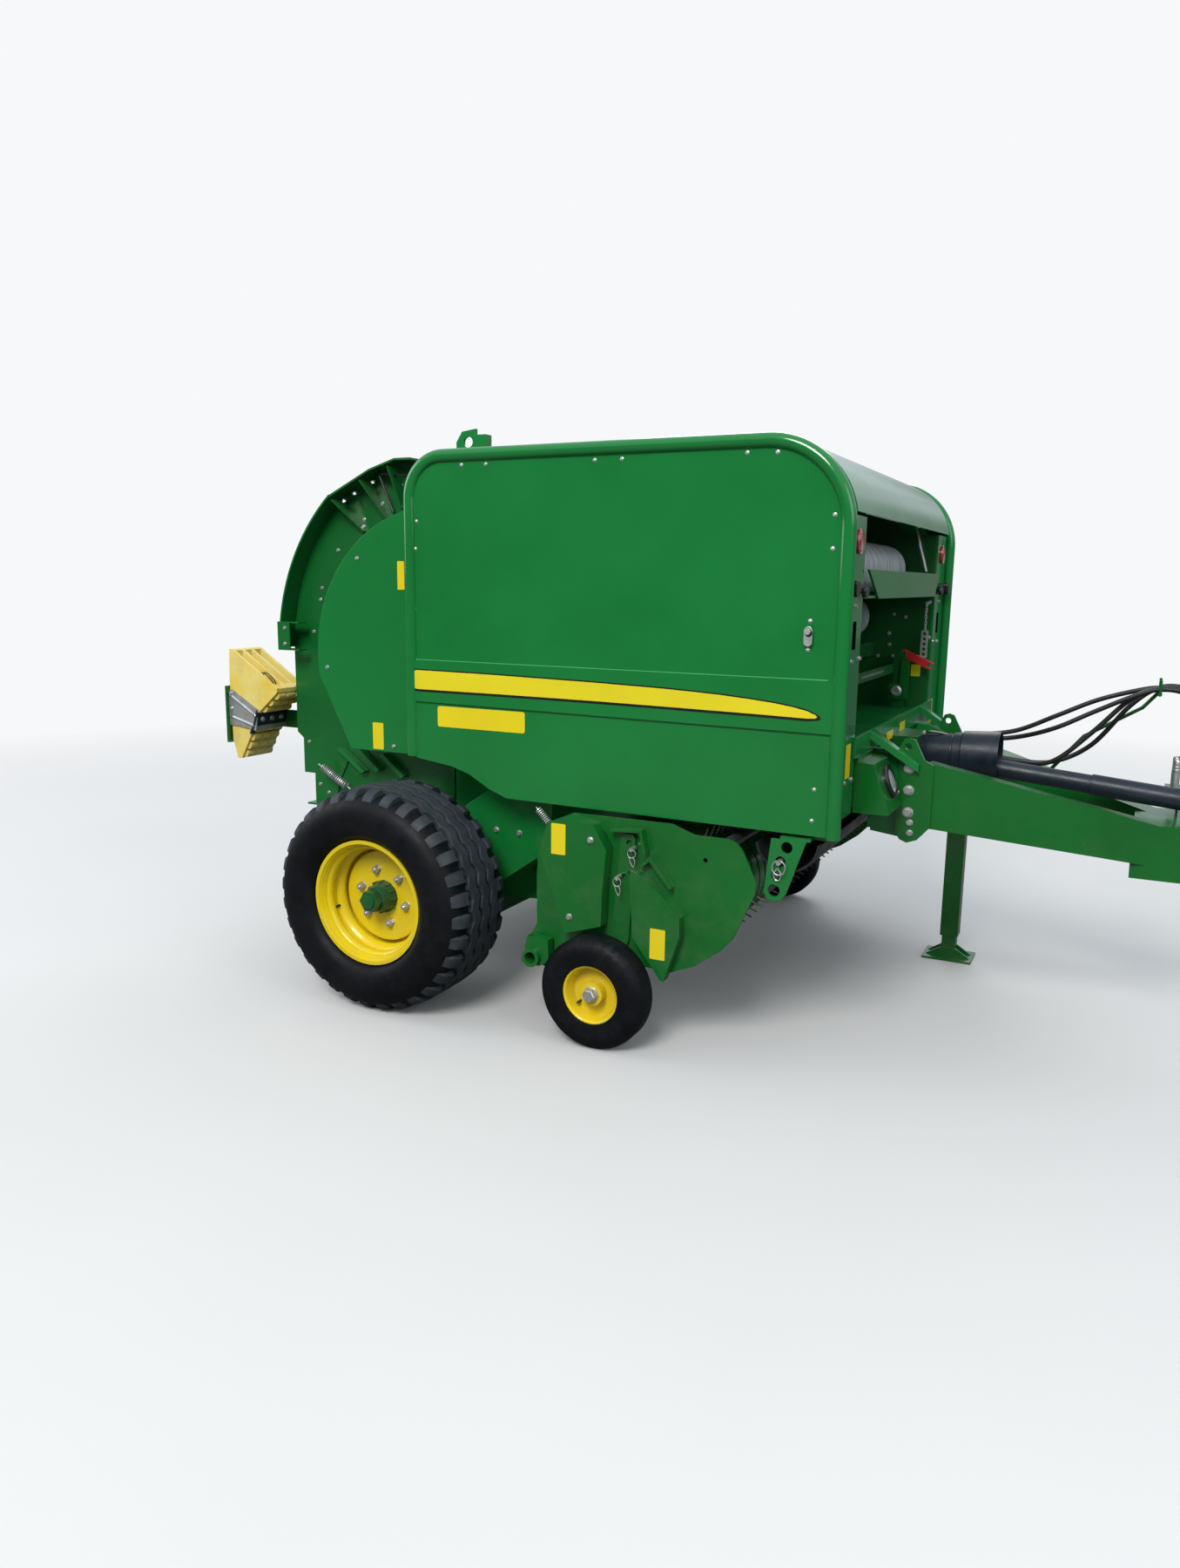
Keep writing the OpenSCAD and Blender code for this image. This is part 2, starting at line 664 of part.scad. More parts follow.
module side_shield() {
    y = shield_y - bead_r;
    right_slab(panel_y, panel_y + 8) shield_outline();
    // Raised band for the stripe, and the lower panel
    right_slab(panel_y + 8 - e, panel_y + 16) polygon([[shield_back + 20, 1150], [shield_back + 20, 1305],
        [shield_front - 20, 1305], [shield_front - 20, 1137]]);
    right_slab(panel_y + 8 - e, panel_y + 12) polygon([[shield_back + bead_r, 940],
        [shield_back + bead_r, 1142],
        [shield_front - bead_r, 1129], [shield_front - bead_r, shield_low - 10], [440, shield_low],
            [364, 843],
        [277, 891], [199, 914], [41, 934]]);
    // Bead around the edge
    translate([0, -y, 0]) {
        translate([shield_back + bead_r, 0, 940]) cylinder(r = bead_r,
            h = shield_top - rear_corner - 940);
        bead_corner(shield_back + rear_corner, shield_top - rear_corner, rear_corner - bead_r, 90);
        translate([shield_back + rear_corner, 0, shield_top - bead_r]) rotate([0, 90, 0])
            cylinder(r = bead_r, h = shield_front - front_corner - shield_back - rear_corner);
        bead_corner(shield_front - front_corner, shield_top - front_corner, front_corner - bead_r, 0);
        translate([shield_front - bead_r, 0, shield_low - 15]) cylinder(r = bead_r,
            h = shield_top - front_corner - shield_low + 15);
    }
    // Inner lip along the bottom
    right_slab(panel_y - 30, panel_y + e) polygon([[1600, shield_low - 4], [1600, shield_low + 4],
        [440, shield_low + 8],
        [440, shield_low]]);
    // Latch handle
    right_slab(panel_y + 8, panel_y + 18) {
        translate([1538, 1468]) circle(r = 13);
        translate([1538, 1422]) circle(r = 13);
        translate([1525, 1422]) square([26, 46]);
    }
    // Hinge knuckles
    for (x = [314, 1014]) difference() {
        union() {
            translate([x, -shield_hinge_y, shield_hinge_z]) rotate([0, 90, 0]) cylinder(r = 14, h = 70);
            translate([x, -y, shield_hinge_z - 14]) cube([70, y - shield_hinge_y, 14]);
        }
        translate([x - e, -shield_hinge_y, shield_hinge_z]) rotate([0, 90, 0]) cylinder(r = 8 + fit,
            h = 72);
    }
}

module side_shield_right() color(green) place() side_shield();
module side_shield_left() color(green) place() mirror([0, 1, 0]) side_shield();

hood_r = 270;
hood_y = 858;
hood_pin_x = 1136;
hood_pin_z = 2046;

module hood() color(green) place() {
    t = 8;
    top = 2052;
    lip = 1823;
    cx = front_x + 16 - hood_r;
    cz = top - hood_r;
    end = asin((lip - cz) / hood_r);
    back = hood_pin_x + 20;
    right_slab(-hood_y, hood_y) polygon(concat([[back, top]], arc(cx, cz, hood_r, 90, end, 16),
        arc(cx, cz, hood_r - t, end, 90, 16), [[back, top - t]]));
    // Side sheets and hinge knuckles
    both_slabs(hood_y - 8, hood_y) polygon(concat([[1440, top - t + e]], arc(cx, cz, hood_r - t + e,
        80, end, 14), [[1560, lip]]));
    both_sides() difference() {
        union() {
            cross_bar(hood_pin_x, hood_pin_z, 14, 630, 695);
            translate([hood_pin_x, 630, top - t]) cube([24, 65, t]);
        }
        cross_bar(hood_pin_x, hood_pin_z, 8 + fit, 629, 696);
    }
}

// Pick-up

module pickup_sides() color(green) place() {
    y = pickup_w / 2;
    box = [[640, 663], [673, 771], [747, 800], [850, 781], [902, 700], [890, 560], [885, 425],
        [742, 378]];
    wedge = [[985, 640], [1060, 605], [1171, 493], [1173, 427], [1118, 262], [1108, 262],
        [1000, 400], [988, 560]];
    both_sides() {
        difference() {
            right_slab(y - 8, y) union() {
                polygon([[598, 560], [610, 690], [673, 771], [747, 803], [1119, 804], [1201, 775],
                    [1320, 776], [1350, 764],
                    [1370, 742], [1419, 639], [1415, 600], [1346, 435], [1300, 385], [1215, 321],
                        [1120, 279], [1000, 290],
                    [726, 315], [650, 232], [600, 228], [560, 262], [560, 300], [600, 380]]);
                translate([rotor_x, rotor_z]) circle(r = 60);
            }
            cross_bar(rotor_x, rotor_z, 30 + fit, -y - e, -y + 9);
            cross_bar(reel_x, reel_z, 30 + fit, -y + 2, -y + 9);
            cross_bar(1241, 694, 8, -y - e, -y + 9);
        }
        // Drive box behind the gauge wheel's bar, and the wedge box ahead of it
        difference() {
            right_slab(y - e, y + 58) polygon(box);
            cross_bar(rotor_x, rotor_z, 34, -y - 10, -y + 9);
        }
        right_slab(y - e, y + 44) polygon(wedge);
        // Bracket and fin over the wedge box
        right_slab(y - e, y + 38) polygon([[905, 770], [1022, 778], [1040, 700], [1032, 698],
            [1014, 768], [905, 761]]);
        right_slab(y - e, y + 30) polygon([[1014, 652], [1052, 690], [1135, 590], [1125, 584],
            [1050, 672], [1024, 646]]);
    }
    // Cross tube behind the reel
    cross_bar(920, 745, 30, -y + 8, y - 8);
}

module pickup_bands() color(green) place() {
    n = floor((pickup_w - 80) / tine_pitch / 2);
    y = pickup_w / 2 - 8;
    r = reel_r - 50;
    for (i = [-n : n - 1]) translate([0, (i + 0.5) * tine_pitch, 0]) rotate([90, 0, 0])
        linear_extrude(tine_pitch - 14, center = true) polygon(concat([[950, reel_z + r]], arc(reel_x,
            reel_z, r, 90, -90, 16),
            [[930, reel_z - r], [930, reel_z - r + 4]], arc(reel_x, reel_z, r - 4, -90, 90, 16),
                [[950, reel_z + r - 4]]));
    // Bar behind the bands
    translate([905, -y, reel_z - r - 8]) cube([26, 2 * y, 20]);
}

module tine_reel() color(steel) place() {
    n = floor((pickup_w - 80) / tine_pitch / 2);
    y = pickup_w / 2;
    translate([reel_x, 0, reel_z]) {
        cross_bar(0, 0, 30, 3 - y, y - 3);
        for (k = [0 : 3]) rotate([0, k * 90 + 20, 0]) {
            cross_bar(150, 0, 16, -y + 40, y - 40);
            for (i = [-n : n]) translate([150, i * tine_pitch, 0]) rotate([0, 90, 0])
                cylinder(r = 3, h = reel_r - 150);
        }
        for (disc = [62 - y, 0, y - 62]) translate([0, disc, 0]) rotate([90, 0, 0]) cylinder(r = 160,
            h = 8, center = true);
    }
}

module wind_guard() color(black) place() {
    y = pickup_w / 2 - 8;
    cross_bar(1312, 756, 20, -y, y);
    for (i = [-13 : 13]) translate([0, i * tine_pitch, 0]) right_slab(-4, 4)
        polygon(concat(arc(reel_x, reel_z, 262, 48, 112, 8), arc(reel_x, reel_z, 251, 112, 48, 8)));
}

// Black apron under the platform
module baffle() color(black) place() {
    y = 940 - 0.1;
    right_slab(-y, y) polygon(concat(arc(1500, 782, 108, -170, -4, 16), arc(1500, 782, 100, -4, -170,
        16)));
}

module gauge_arms() color(green) place() {
    y = pickup_w / 2;
    both_sides() {
        // Arm from the pivot to the wheel, and the adjusting bar
        right_slab(y, y + 12) difference() {
            union() {
                polygon([[610, 300], [580, 255], [600, 234], [884, 168], [905, 175], [972, 380],
                    [990, 740],
                    [980, 755], [948, 755], [936, 740], [905, 380], [870, 240]]);
                translate([610, 268]) circle(r = 36);
                translate([gauge_x, gauge_d / 2]) circle(r = 34);
            }
            for (h = [[967, 723], [967, 686], [977, 618], [949, 602]]) translate(h) circle(r = 11);
        }
        difference() {
            right_slab(y + 12 - e, y + 50) polygon([[578, 300], [590, 345], [672, 338], [676, 262],
                [640, 238],
                [600, 234]]);
            translate([610, -y, 268]) rotate([90, 0, 0]) cylinder(r = 22, h = 80);
        }
        translate([610, -y, 268]) rotate([90, 0, 0]) difference() {
            cylinder(r = 34, h = 70);
            translate([0, 0, 12]) cylinder(r = 22, h = 60);
        }
        cross_bar(gauge_x, gauge_d / 2, 15, -gauge_y - 50, -y - 12);
    }
}

module feed_rotor() color(green) place() {
    translate([rotor_x, 0, rotor_z]) {
        cross_bar(0, 0, 85, -side_in + 10, side_in - 10);
        cross_bar(0, 0, 30, -side_in - 30, side_in + 30);
        for (i = [-6 : 6]) translate([0, i * 85, 0]) rotate([90, i * 20, 0]) linear_extrude(8,
            center = true)
            polygon([for (k = [0 : 7]) (k % 2 == 0 ? rotor_r : 90) * [cos(45 * k), sin(45 * k)]]);
    }
}

// Wheels

// A wheel drawn about Z with its outer face up, set at the right side
module right_wheel(x, y, z) {
    translate([x, -y, z]) rotate([90, 0, 0]) children();
}

module tyre_body() {
    rotate_extrude() difference() {
        polygon([[rim_d / 2 + 0.3, -149], [rim_d / 2 + 24, -149], [300, -tyre_w / 2],
            [350, -tyre_w / 2 + 4],
            [398, -tread_w / 2], [wheel_r, -tread_w / 2 + 24], [wheel_r, tread_w / 2 - 24],
            [398, tread_w / 2], [350, tyre_w / 2 - 4], [300, tyre_w / 2], [rim_d / 2 + 24, 149],
                [rim_d / 2 + 0.3, 149]]);
        for (y = [-78, 0, 78]) translate([wheel_r, y]) square([24, 12], center = true);
    }
}

module rim_body() {
    b = rim_d / 2;
    difference() {
        rotate_extrude() polygon([[b + 20, 150], [b + 20, 160], [b + 6, 160], [b - 4, 138],
            [b - 10, 120], [b - 12, 30],
            [b - 18, 18], [182, 16], [176, 22], [173, 44], [165, 48], [60, 48], [60, 38], [160, 38],
                [165, 34], [167, 12],
            [178, 4], [b - 10, 4], [b - 10, -160], [b + 20, -160], [b + 20, -150], [b, -150], [b, 150]]);
        rotate(200) translate([190, 0, 0]) cylinder(r = 7, h = 30);
    }
}

module hub_body() {
    difference() {
        union() {
            translate([0, 0, -60]) cylinder(r = 59.7, h = 112);
            translate([0, 0, 22]) cylinder(r = 130, h = 16);
            translate([0, 0, 52]) cylinder(r1 = 59.7, r2 = 46, h = 58);
            for (a = [0 : 30 : 330]) rotate(a) translate([0, -4, 48]) cube([62, 8, 30]);
            translate([0, 0, 110]) linear_extrude(34) circle(r = 42, $fn = 6);
        }
        translate([0, 0, -61]) cylinder(r = 30 + fit, h = 124);
    }
}

module gauge_tyre() {
    rotate_extrude() polygon([[105, -55], [150, -gauge_w / 2], [180, -gauge_w / 2 + 8],
        [gauge_d / 2, -30], [gauge_d / 2, 30],
        [180, gauge_w / 2 - 8], [150, gauge_w / 2], [105, 55]]);
}

module gauge_rim() {
    difference() {
        union() {
            rotate_extrude() polygon([[40, 2], [84, 2], [94, 44], [100, 50], [104.7, 50],
                [104.7, -50], [96, -50], [84, -8],
                [40, -8]]);
            translate([0, 0, -50]) cylinder(r = 41, h = 90);
        }
        translate([0, 0, -51]) cylinder(r = 15 + fit, h = 102);
    }
}

module tyre_right() color(black) place() right_wheel(0, track_w / 2, wheel_r) tyre_body();
module rim_right() color(yellow) place() right_wheel(0, track_w / 2, wheel_r) rim_body();
module hub_right() color(green) place() right_wheel(0, track_w / 2, wheel_r) hub_body();
module tyre_left() color(black) place() mirror([0, 1, 0]) right_wheel(0, track_w / 2,
    wheel_r) tyre_body();
module rim_left() color(yellow) place() mirror([0, 1, 0]) right_wheel(0, track_w / 2, wheel_r) rim_body();
module hub_left() color(green) place() mirror([0, 1, 0]) right_wheel(0, track_w / 2, wheel_r) hub_body();
module gauge_tyre_right() color(black) place() right_wheel(gauge_x, gauge_y, gauge_d / 2) gauge_tyre();
module gauge_rim_right() color(yellow) place() right_wheel(gauge_x, gauge_y, gauge_d / 2) gauge_rim();
module gauge_tyre_left() color(black) place()
    mirror([0, 1, 0]) right_wheel(gauge_x, gauge_y, gauge_d / 2) gauge_tyre();
module gauge_rim_left() color(yellow) place()
    mirror([0, 1, 0]) right_wheel(gauge_x, gauge_y, gauge_d / 2) gauge_rim();

// Jack, drawn as it stands, foot on the ground

module jack() color(green) place() {
    y = jack_y;
    difference() {
        union() {
            translate([1830 - 37, y, 100]) cube([74, 74, jack_z - 60]);
            translate([1830 - 29, y + 8, 8]) cube([58, 58, 100]);
        }
        translate([1830, y - e, jack_z]) rotate([-90, 0, 0]) cylinder(r = 15 + fit, h = 76);
    }
    translate([1830 - 102, y + 37 - 80, 0]) cube([205, 160, 8]);
    for (dy = [4, 62]) translate([0, y + dy, 0]) rotate([90, 0, 0]) translate([0, 0, -8])
        linear_extrude(8) polygon([[1738, 8], [1922, 8], [1862, 46], [1798, 46]]);
}

// Tailgate rams

ram_x = 330;
ram_z = 1180;
ram_top_x = -260;
ram_top_z = 1750;
ram_angle = atan2(ram_top_z - ram_z, ram_top_x - ram_x);
ram_length = norm([ram_top_z - ram_z, ram_top_x - ram_x]);

// Places a ram drawn along Z, its lower eye at the origin; side is -1 on the right, 1 on the left
module ram_frame(side) {
    translate([ram_x, side * ram_y, ram_z]) rotate([0, 90 - ram_angle, 0]) children();
}

module ram_barrel(side) {
    ram_frame(side) difference() {
        union() {
            translate([0, 0, 25]) cylinder(r = 32, h = 485);
            rotate([90, 0, 0]) cylinder(r = 34, h = 40, center = true);
        }
        rotate([90, 0, 0]) cylinder(r = 15 + fit, h = 60, center = true);
        translate([0, 0, 60]) cylinder(r = 20 + fit, h = 500);
    }
}

module ram_rod(side) {
    ram_frame(side) {
        translate([0, 0, 120]) cylinder(r = 20, h = ram_length - 145);
        translate([0, 0, ram_length]) rotate([90, 0, 0]) difference() {
            cylinder(r = 34, h = 40, center = true);
            cylinder(r = 16, h = 60, center = true);
        }
    }
}

module ram_barrel_right() color(dark_green) place() ram_barrel(-1);
module ram_rod_right() color(steel) place() ram_rod(-1);
module ram_barrel_left() color(dark_green) place() ram_barrel(1);
module ram_rod_left() color(steel) place() ram_rod(1);

side_plates();
frame_pins();
side_guards();
cross_beams();
roof();
front_posts();
platform();
axle();
front_rollers();
drawbar();
hitch_eye();
gearbox();
pto_guard();
pto_shaft();
net_tray();
net_rolls();
net_feed();
net_lever();
light_boxes();
lamps();
baffle();
hose_ports();
hose(1);  // hose_1
hose(2);  // hose_2
hose(3);  // hose_3
hose(4);  // hose_4
tailgate_sides();
tailgate_covers();
tailgate_rollers();
tailgate_bars();
chock_holder();
wheel_chocks();
side_shield_right();
side_shield_left();
hood();
pickup_sides();
pickup_bands();
wind_guard();
gauge_arms();
tine_reel();
feed_rotor();
gauge_tyre_right();
gauge_rim_right();
gauge_tyre_left();
gauge_rim_left();
tyre_right();
rim_right();
hub_right();
tyre_left();
rim_left();
hub_left();
jack();
ram_barrel_right();
ram_rod_right();
ram_barrel_left();
ram_rod_left();
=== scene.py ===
# %% [markdown]
# A round baler, dressed in Blender. The solids come from a CAD frame whose
# axes are x forwards, y to the left and z up, in metres. Everything made here
# lands in that frame, so nothing has to be fitted by eye.

# %% Load the frame
import json
import math
import bpy
from mathutils import Matrix, Vector

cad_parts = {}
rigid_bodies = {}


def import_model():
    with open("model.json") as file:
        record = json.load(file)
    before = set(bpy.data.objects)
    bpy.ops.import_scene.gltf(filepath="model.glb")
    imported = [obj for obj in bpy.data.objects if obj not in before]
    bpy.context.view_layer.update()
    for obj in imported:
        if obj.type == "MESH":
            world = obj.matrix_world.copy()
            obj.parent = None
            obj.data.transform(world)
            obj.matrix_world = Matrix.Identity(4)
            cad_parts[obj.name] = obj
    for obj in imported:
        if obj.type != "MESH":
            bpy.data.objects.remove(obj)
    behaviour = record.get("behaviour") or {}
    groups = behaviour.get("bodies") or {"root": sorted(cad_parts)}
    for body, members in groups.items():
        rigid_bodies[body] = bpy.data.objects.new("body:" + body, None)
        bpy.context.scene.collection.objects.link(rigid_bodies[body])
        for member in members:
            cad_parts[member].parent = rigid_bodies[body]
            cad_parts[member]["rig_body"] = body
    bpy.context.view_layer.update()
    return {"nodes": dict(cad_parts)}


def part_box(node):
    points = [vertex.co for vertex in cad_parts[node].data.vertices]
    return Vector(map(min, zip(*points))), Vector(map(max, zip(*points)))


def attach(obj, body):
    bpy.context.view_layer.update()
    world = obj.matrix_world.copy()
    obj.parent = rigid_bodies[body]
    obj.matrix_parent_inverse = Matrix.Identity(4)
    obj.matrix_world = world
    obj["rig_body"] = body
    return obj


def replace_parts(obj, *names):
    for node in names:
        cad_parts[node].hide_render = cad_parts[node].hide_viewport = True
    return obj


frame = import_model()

# %% [markdown]
# The drawing of this machine counts millimetres from the main axle, while the
# frame's origin lies under the middle of the machine. One small function turns
# the first into the second, and places on the machine are written in drawing
# millimetres, as a maker would read them off.

# %% From drawing millimetres to the frame
AXLE_X = -0.918      # metres, in the frame
AXLE_HEIGHT = 423.5  # millimetres, in the drawing


def at(x, y, z):
    return Vector((x / 1000 + AXLE_X, y / 1000, z / 1000))


print("main axle at", at(0, 0, AXLE_HEIGHT))

# %% [markdown]
# The camera repeats the photographer's place: beside the drawbar on the right,
# at eye height, looking back and slightly down. A short lens gives the strong
# perspective of a telephone. Its three directions are worked out from the heading, the
# dip and a small roll, and become the camera's own axes.

# %% Camera
HEADING, DIP, ROLL = (math.radians(v) for v in (26.753, 10.507, 0.698))
EYE = at(2479, -4305.5, 1599.7)
LENS = 25.05
look = Vector((-math.sin(HEADING) * math.cos(DIP), math.cos(HEADING) * math.cos(DIP), -math.sin(DIP)))
level = Vector((math.cos(HEADING), math.sin(HEADING), 0))
lift = level.cross(look)
side = level * math.cos(ROLL) + lift * math.sin(ROLL)
top = lift * math.cos(ROLL) - level * math.sin(ROLL)
bpy.ops.object.camera_add(location=EYE)
camera = bpy.context.object
camera.name = "camera"
camera.matrix_world = Matrix.LocRotScale(EYE, Matrix((side, top, -look)).transposed(), None)
camera.data.sensor_fit = "VERTICAL"
camera.data.sensor_height = 36
camera.data.lens = LENS
camera.data.dof.use_dof = False
bpy.context.scene.camera = camera
bpy.context.scene.view_settings.view_transform = "Standard"
print("camera at", [round(v, 3) for v in camera.location])

# %% [markdown]
# Everything that is made needs the same closing steps: put its place in its
# mesh, name it, smooth it below an angle, give it its finish and tie it to the
# body that carries it. A helper does them in one line. The finishes come later,
# so a piece only notes the name of its finish until the end. Smoothing alone
# would bend the light over a large flat face beside a narrow bevel, so the
# normals are weighted by face size.

# %% Helpers that pick out and close a piece
wanted_finish = {}


def pick(*objects):
    bpy.ops.object.select_all(action="DESELECT")
    for o in objects:
        o.select_set(True)
    bpy.context.view_layer.objects.active = objects[0]


def modified(piece, kind, **settings):
    """Add one modifier, set it and apply it."""
    pick(piece)
    added = piece.modifiers.new(kind, kind)
    for key, value in settings.items():
        setattr(added, key, value)
    bpy.ops.object.modifier_apply(modifier=added.name)
    return piece


def close(piece, name, body, finish, smooth=30):
    pick(piece)
    bpy.ops.object.transform_apply(location=True, rotation=True, scale=True)
    piece.name = piece.data.name = name
    bpy.ops.object.shade_smooth_by_angle(angle=math.radians(smooth))
    modified(piece, "WEIGHTED_NORMAL", keep_sharp=True)
    wanted_finish[name] = finish
    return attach(piece, body)


print("helpers ready")

# %% [markdown]
# Four hydraulic hoses leave the port block above the drawbar, climb over the
# hook of a bent rod and come down to the couplers parked on a small shelf.
# A hose is drawn as one curve with a round bevel: its handles follow the
# neighbouring points, which gives the same smooth line as the CAD route.

# %% Hoses
HOSE_R = 9
hose_x = [1702.5, 1760, 1900, 2060, 2200, 2330, 2450, 2541, 2630, 2690, 2706, 2680, 2640, 2620, 2620]
hose_z = [
    [990, 990, 1010, 1030, 1080, 1150, 1212, 1244, 1232, 1175, 1098, 1035, 995, 970, 950.5],
    [990, 990, 966, 935, 950, 1070, 1203, 1244, 1237, 1183, 1104, 1038, 996, 970, 950.5],
    [990, 990, 1022, 1052, 1120, 1185, 1226, 1244, 1226, 1169, 1094, 1032, 994, 970, 950.5],
    [990, 990, 960, 936, 940, 1015, 1173, 1244, 1242, 1190, 1110, 1042, 998, 970, 950.5],
]
port_y = [140, 166, 192, 218]
hook_y = [150, 168, 186, 200]
park_y = [100, 128, 172, 200]


def lane(hose, k):
    return port_y[hose] if k < 2 else hook_y[hose] if k < 4 else park_y[hose]


def curve_through(points, radius, name):
    """A round curve whose handles point along the line between a point's neighbours.
    The bevel is one metre deep and each knot's radius scales it down to the real one,
    because Blender adds a knot's radius to a curve's box."""
    data = bpy.data.curves.new(name, "CURVE")
    data.dimensions = "3D"
    data.bevel_depth = 1
    data.bevel_resolution = 5
    data.resolution_u = 8
    data.use_fill_caps = True
    line = data.splines.new("BEZIER")
    line.bezier_points.add(len(points) - 1)
    for k, point in enumerate(points):
        before, after = points[max(k - 1, 0)], points[min(k + 1, len(points) - 1)]
        slope = (after - before) / 6
        knot = line.bezier_points[k]
        knot.co = point
        knot.radius = radius
        knot.handle_left = point - slope
        knot.handle_right = point + slope
    piece = bpy.data.objects.new(name, data)
    bpy.context.scene.collection.objects.link(piece)
    return piece


hoses = []
for hose in range(4):
    route = [at(hose_x[k], lane(hose, k), hose_z[hose][k]) for k in range(len(hose_x))]
    piece = curve_through(route, HOSE_R / 1000, f"hydraulic_hose_{hose + 1}")
    wanted_finish[piece.name] = "hose_rubber"
    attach(piece, "frame")
    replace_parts(piece, f"hose_{hose + 1}")
    length = piece.data.splines[0].calc_length()
    hoses.append((piece, route, length))
    print(piece.name, "length", round(length, 3))

# %% [markdown]
# Meshes are drawn from points and then edited by operators, which work on what
# is selected in edit mode. One helper runs a list of such steps on the whole
# mesh. Two steps come back often: merging points that lie on each other, and
# turning the normals outwards.

# %% Helpers that draw and edit a mesh
def drawn(name, points, edges=(), faces=()):
    """A new mesh from points in metres, with its edges or faces."""
    data = bpy.data.meshes.new(name)
    data.from_pydata(points, edges, faces)
    piece = bpy.data.objects.new(name, data)
    bpy.context.scene.collection.objects.link(piece)
    return piece


def edited(piece, *steps):
    """Run steps of mesh editing, each an operator and its settings, on the whole mesh."""
    pick(piece)
    bpy.ops.object.mode_set(mode="EDIT")
    for operator, settings in steps:
        bpy.ops.mesh.select_all(action="SELECT")
        operator(**settings)
    bpy.ops.object.mode_set(mode="OBJECT")
    return piece


OUTWARDS = (bpy.ops.mesh.normals_make_consistent, {"inside": False})


def merged(gap=0.00002):
    """The step that merges points closer than a gap in metres."""
    return bpy.ops.mesh.remove_doubles, {"threshold": gap}


print("mesh helpers ready")

# %% [markdown]
# Round things are turned, as on a lathe: the half profile is drawn as a closed
# line of points, spun about the y axis and merged where the last step meets the
# first. The turned piece is then moved or tipped to its place.

# %% Lathe helper
def turned(profile, steps):
    """profile is a closed loop of (radius, y) in millimetres; the axis is y through the origin."""
    points = [(r / 1000, y / 1000, 0) for r, y in profile]
    loop = [(k, (k + 1) % len(points)) for k in range(len(points))]
    spin = {"steps": steps, "angle": 2 * math.pi, "center": (0, 0, 0), "axis": (0, 1, 0)}
    return edited(drawn("turned", points, edges=loop), (bpy.ops.mesh.spin, spin), merged(), OUTWARDS)


def place(piece, where, turn=None):
    """Put a piece's place in its mesh: first turned by a matrix, then moved."""
    piece.data.transform(Matrix.Translation(where) @ (turn or Matrix.Identity(4)))
    piece.data.update()
    return piece


# Matrices that send the lathe's +y axis along a named direction
ALONG = {
    "-y": Matrix.Rotation(math.pi, 4, "Z"),
    "+y": Matrix.Identity(4),
    "+x": Matrix.Rotation(-math.pi / 2, 4, "Z"),
    "-x": Matrix.Rotation(math.pi / 2, 4, "Z"),
    "+z": Matrix.Rotation(math.pi / 2, 4, "X"),
    "-z": Matrix.Rotation(-math.pi / 2, 4, "X"),
}


def copy_of(piece, where, turn=None):
    twin = piece.copy()
    twin.data = piece.data.copy()
    twin.hide_render = False
    bpy.context.scene.collection.objects.link(twin)
    return place(twin, where, turn)


def joined(pieces):
    pick(*pieces)
    if len(pieces) > 1:
        bpy.ops.object.join()
    return bpy.context.object


print("lathe ready")

# %% [markdown]
# Each hose ends in a crimped steel sleeve at the port and in another one above
# its coupler. The sleeve is turned with the two grooves that the crimping
# press leaves.

# %% Hose ends
sleeve = turned([(6, 0), (12.5, 0), (12.5, 9), (11.3, 11), (12.5, 13), (12.5, 20), (11.3, 22), (12.5, 24),
                 (12.5, 36), (10.2, 42), (6, 42)], 24)
for hose, (piece, route, length) in enumerate(hoses):
    first = copy_of(sleeve, route[0] + Vector((0.001, 0, 0)), ALONG["+x"])
    last = copy_of(sleeve, route[-1] + Vector((0, 0, 0.001)), ALONG["+z"])
    ends = close(joined([first, last]), f"hose_sleeves_{hose + 1}", "frame", "zinc")
sleeve.hide_render = True
print("hose ends", 2 * len(hoses))

# %% [markdown]
# A sheet-metal solid from the CAD is right in shape but has knife edges and
# loose triangles. A copy is merged, its flat triangles are dissolved into
# whole faces, and a narrow bevel gives each edge the thin highlight that
# painted steel shows. The copy then stands in for the CAD node.

# %% Softened copies of the CAD solids
EDGE = 1.2
body_of_node = {n: o["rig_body"] for n, o in frame["nodes"].items()}


def bevelled(piece, edge):
    """Round all edges sharper than 40 degrees by a width in millimetres."""
    return modified(piece, "BEVEL", width=edge / 1000, segments=2, limit_method="ANGLE",
                    angle_limit=math.radians(40))


def softened(node, finish, edge):
    piece = frame["nodes"][node].copy()
    piece.data = piece.data.copy()
    for key in list(piece.keys()):
        if key.startswith("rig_"):
            del piece[key]
    piece.parent = None
    bpy.context.scene.collection.objects.link(piece)
    edited(piece, merged(), (bpy.ops.mesh.dissolve_limited, {"angle_limit": math.radians(0.5)}))
    if edge:
        bevelled(piece, edge)
    piece.data.materials.clear()
    close(piece, f"{node}_finished", body_of_node[node], finish, 32)
    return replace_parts(piece, node)


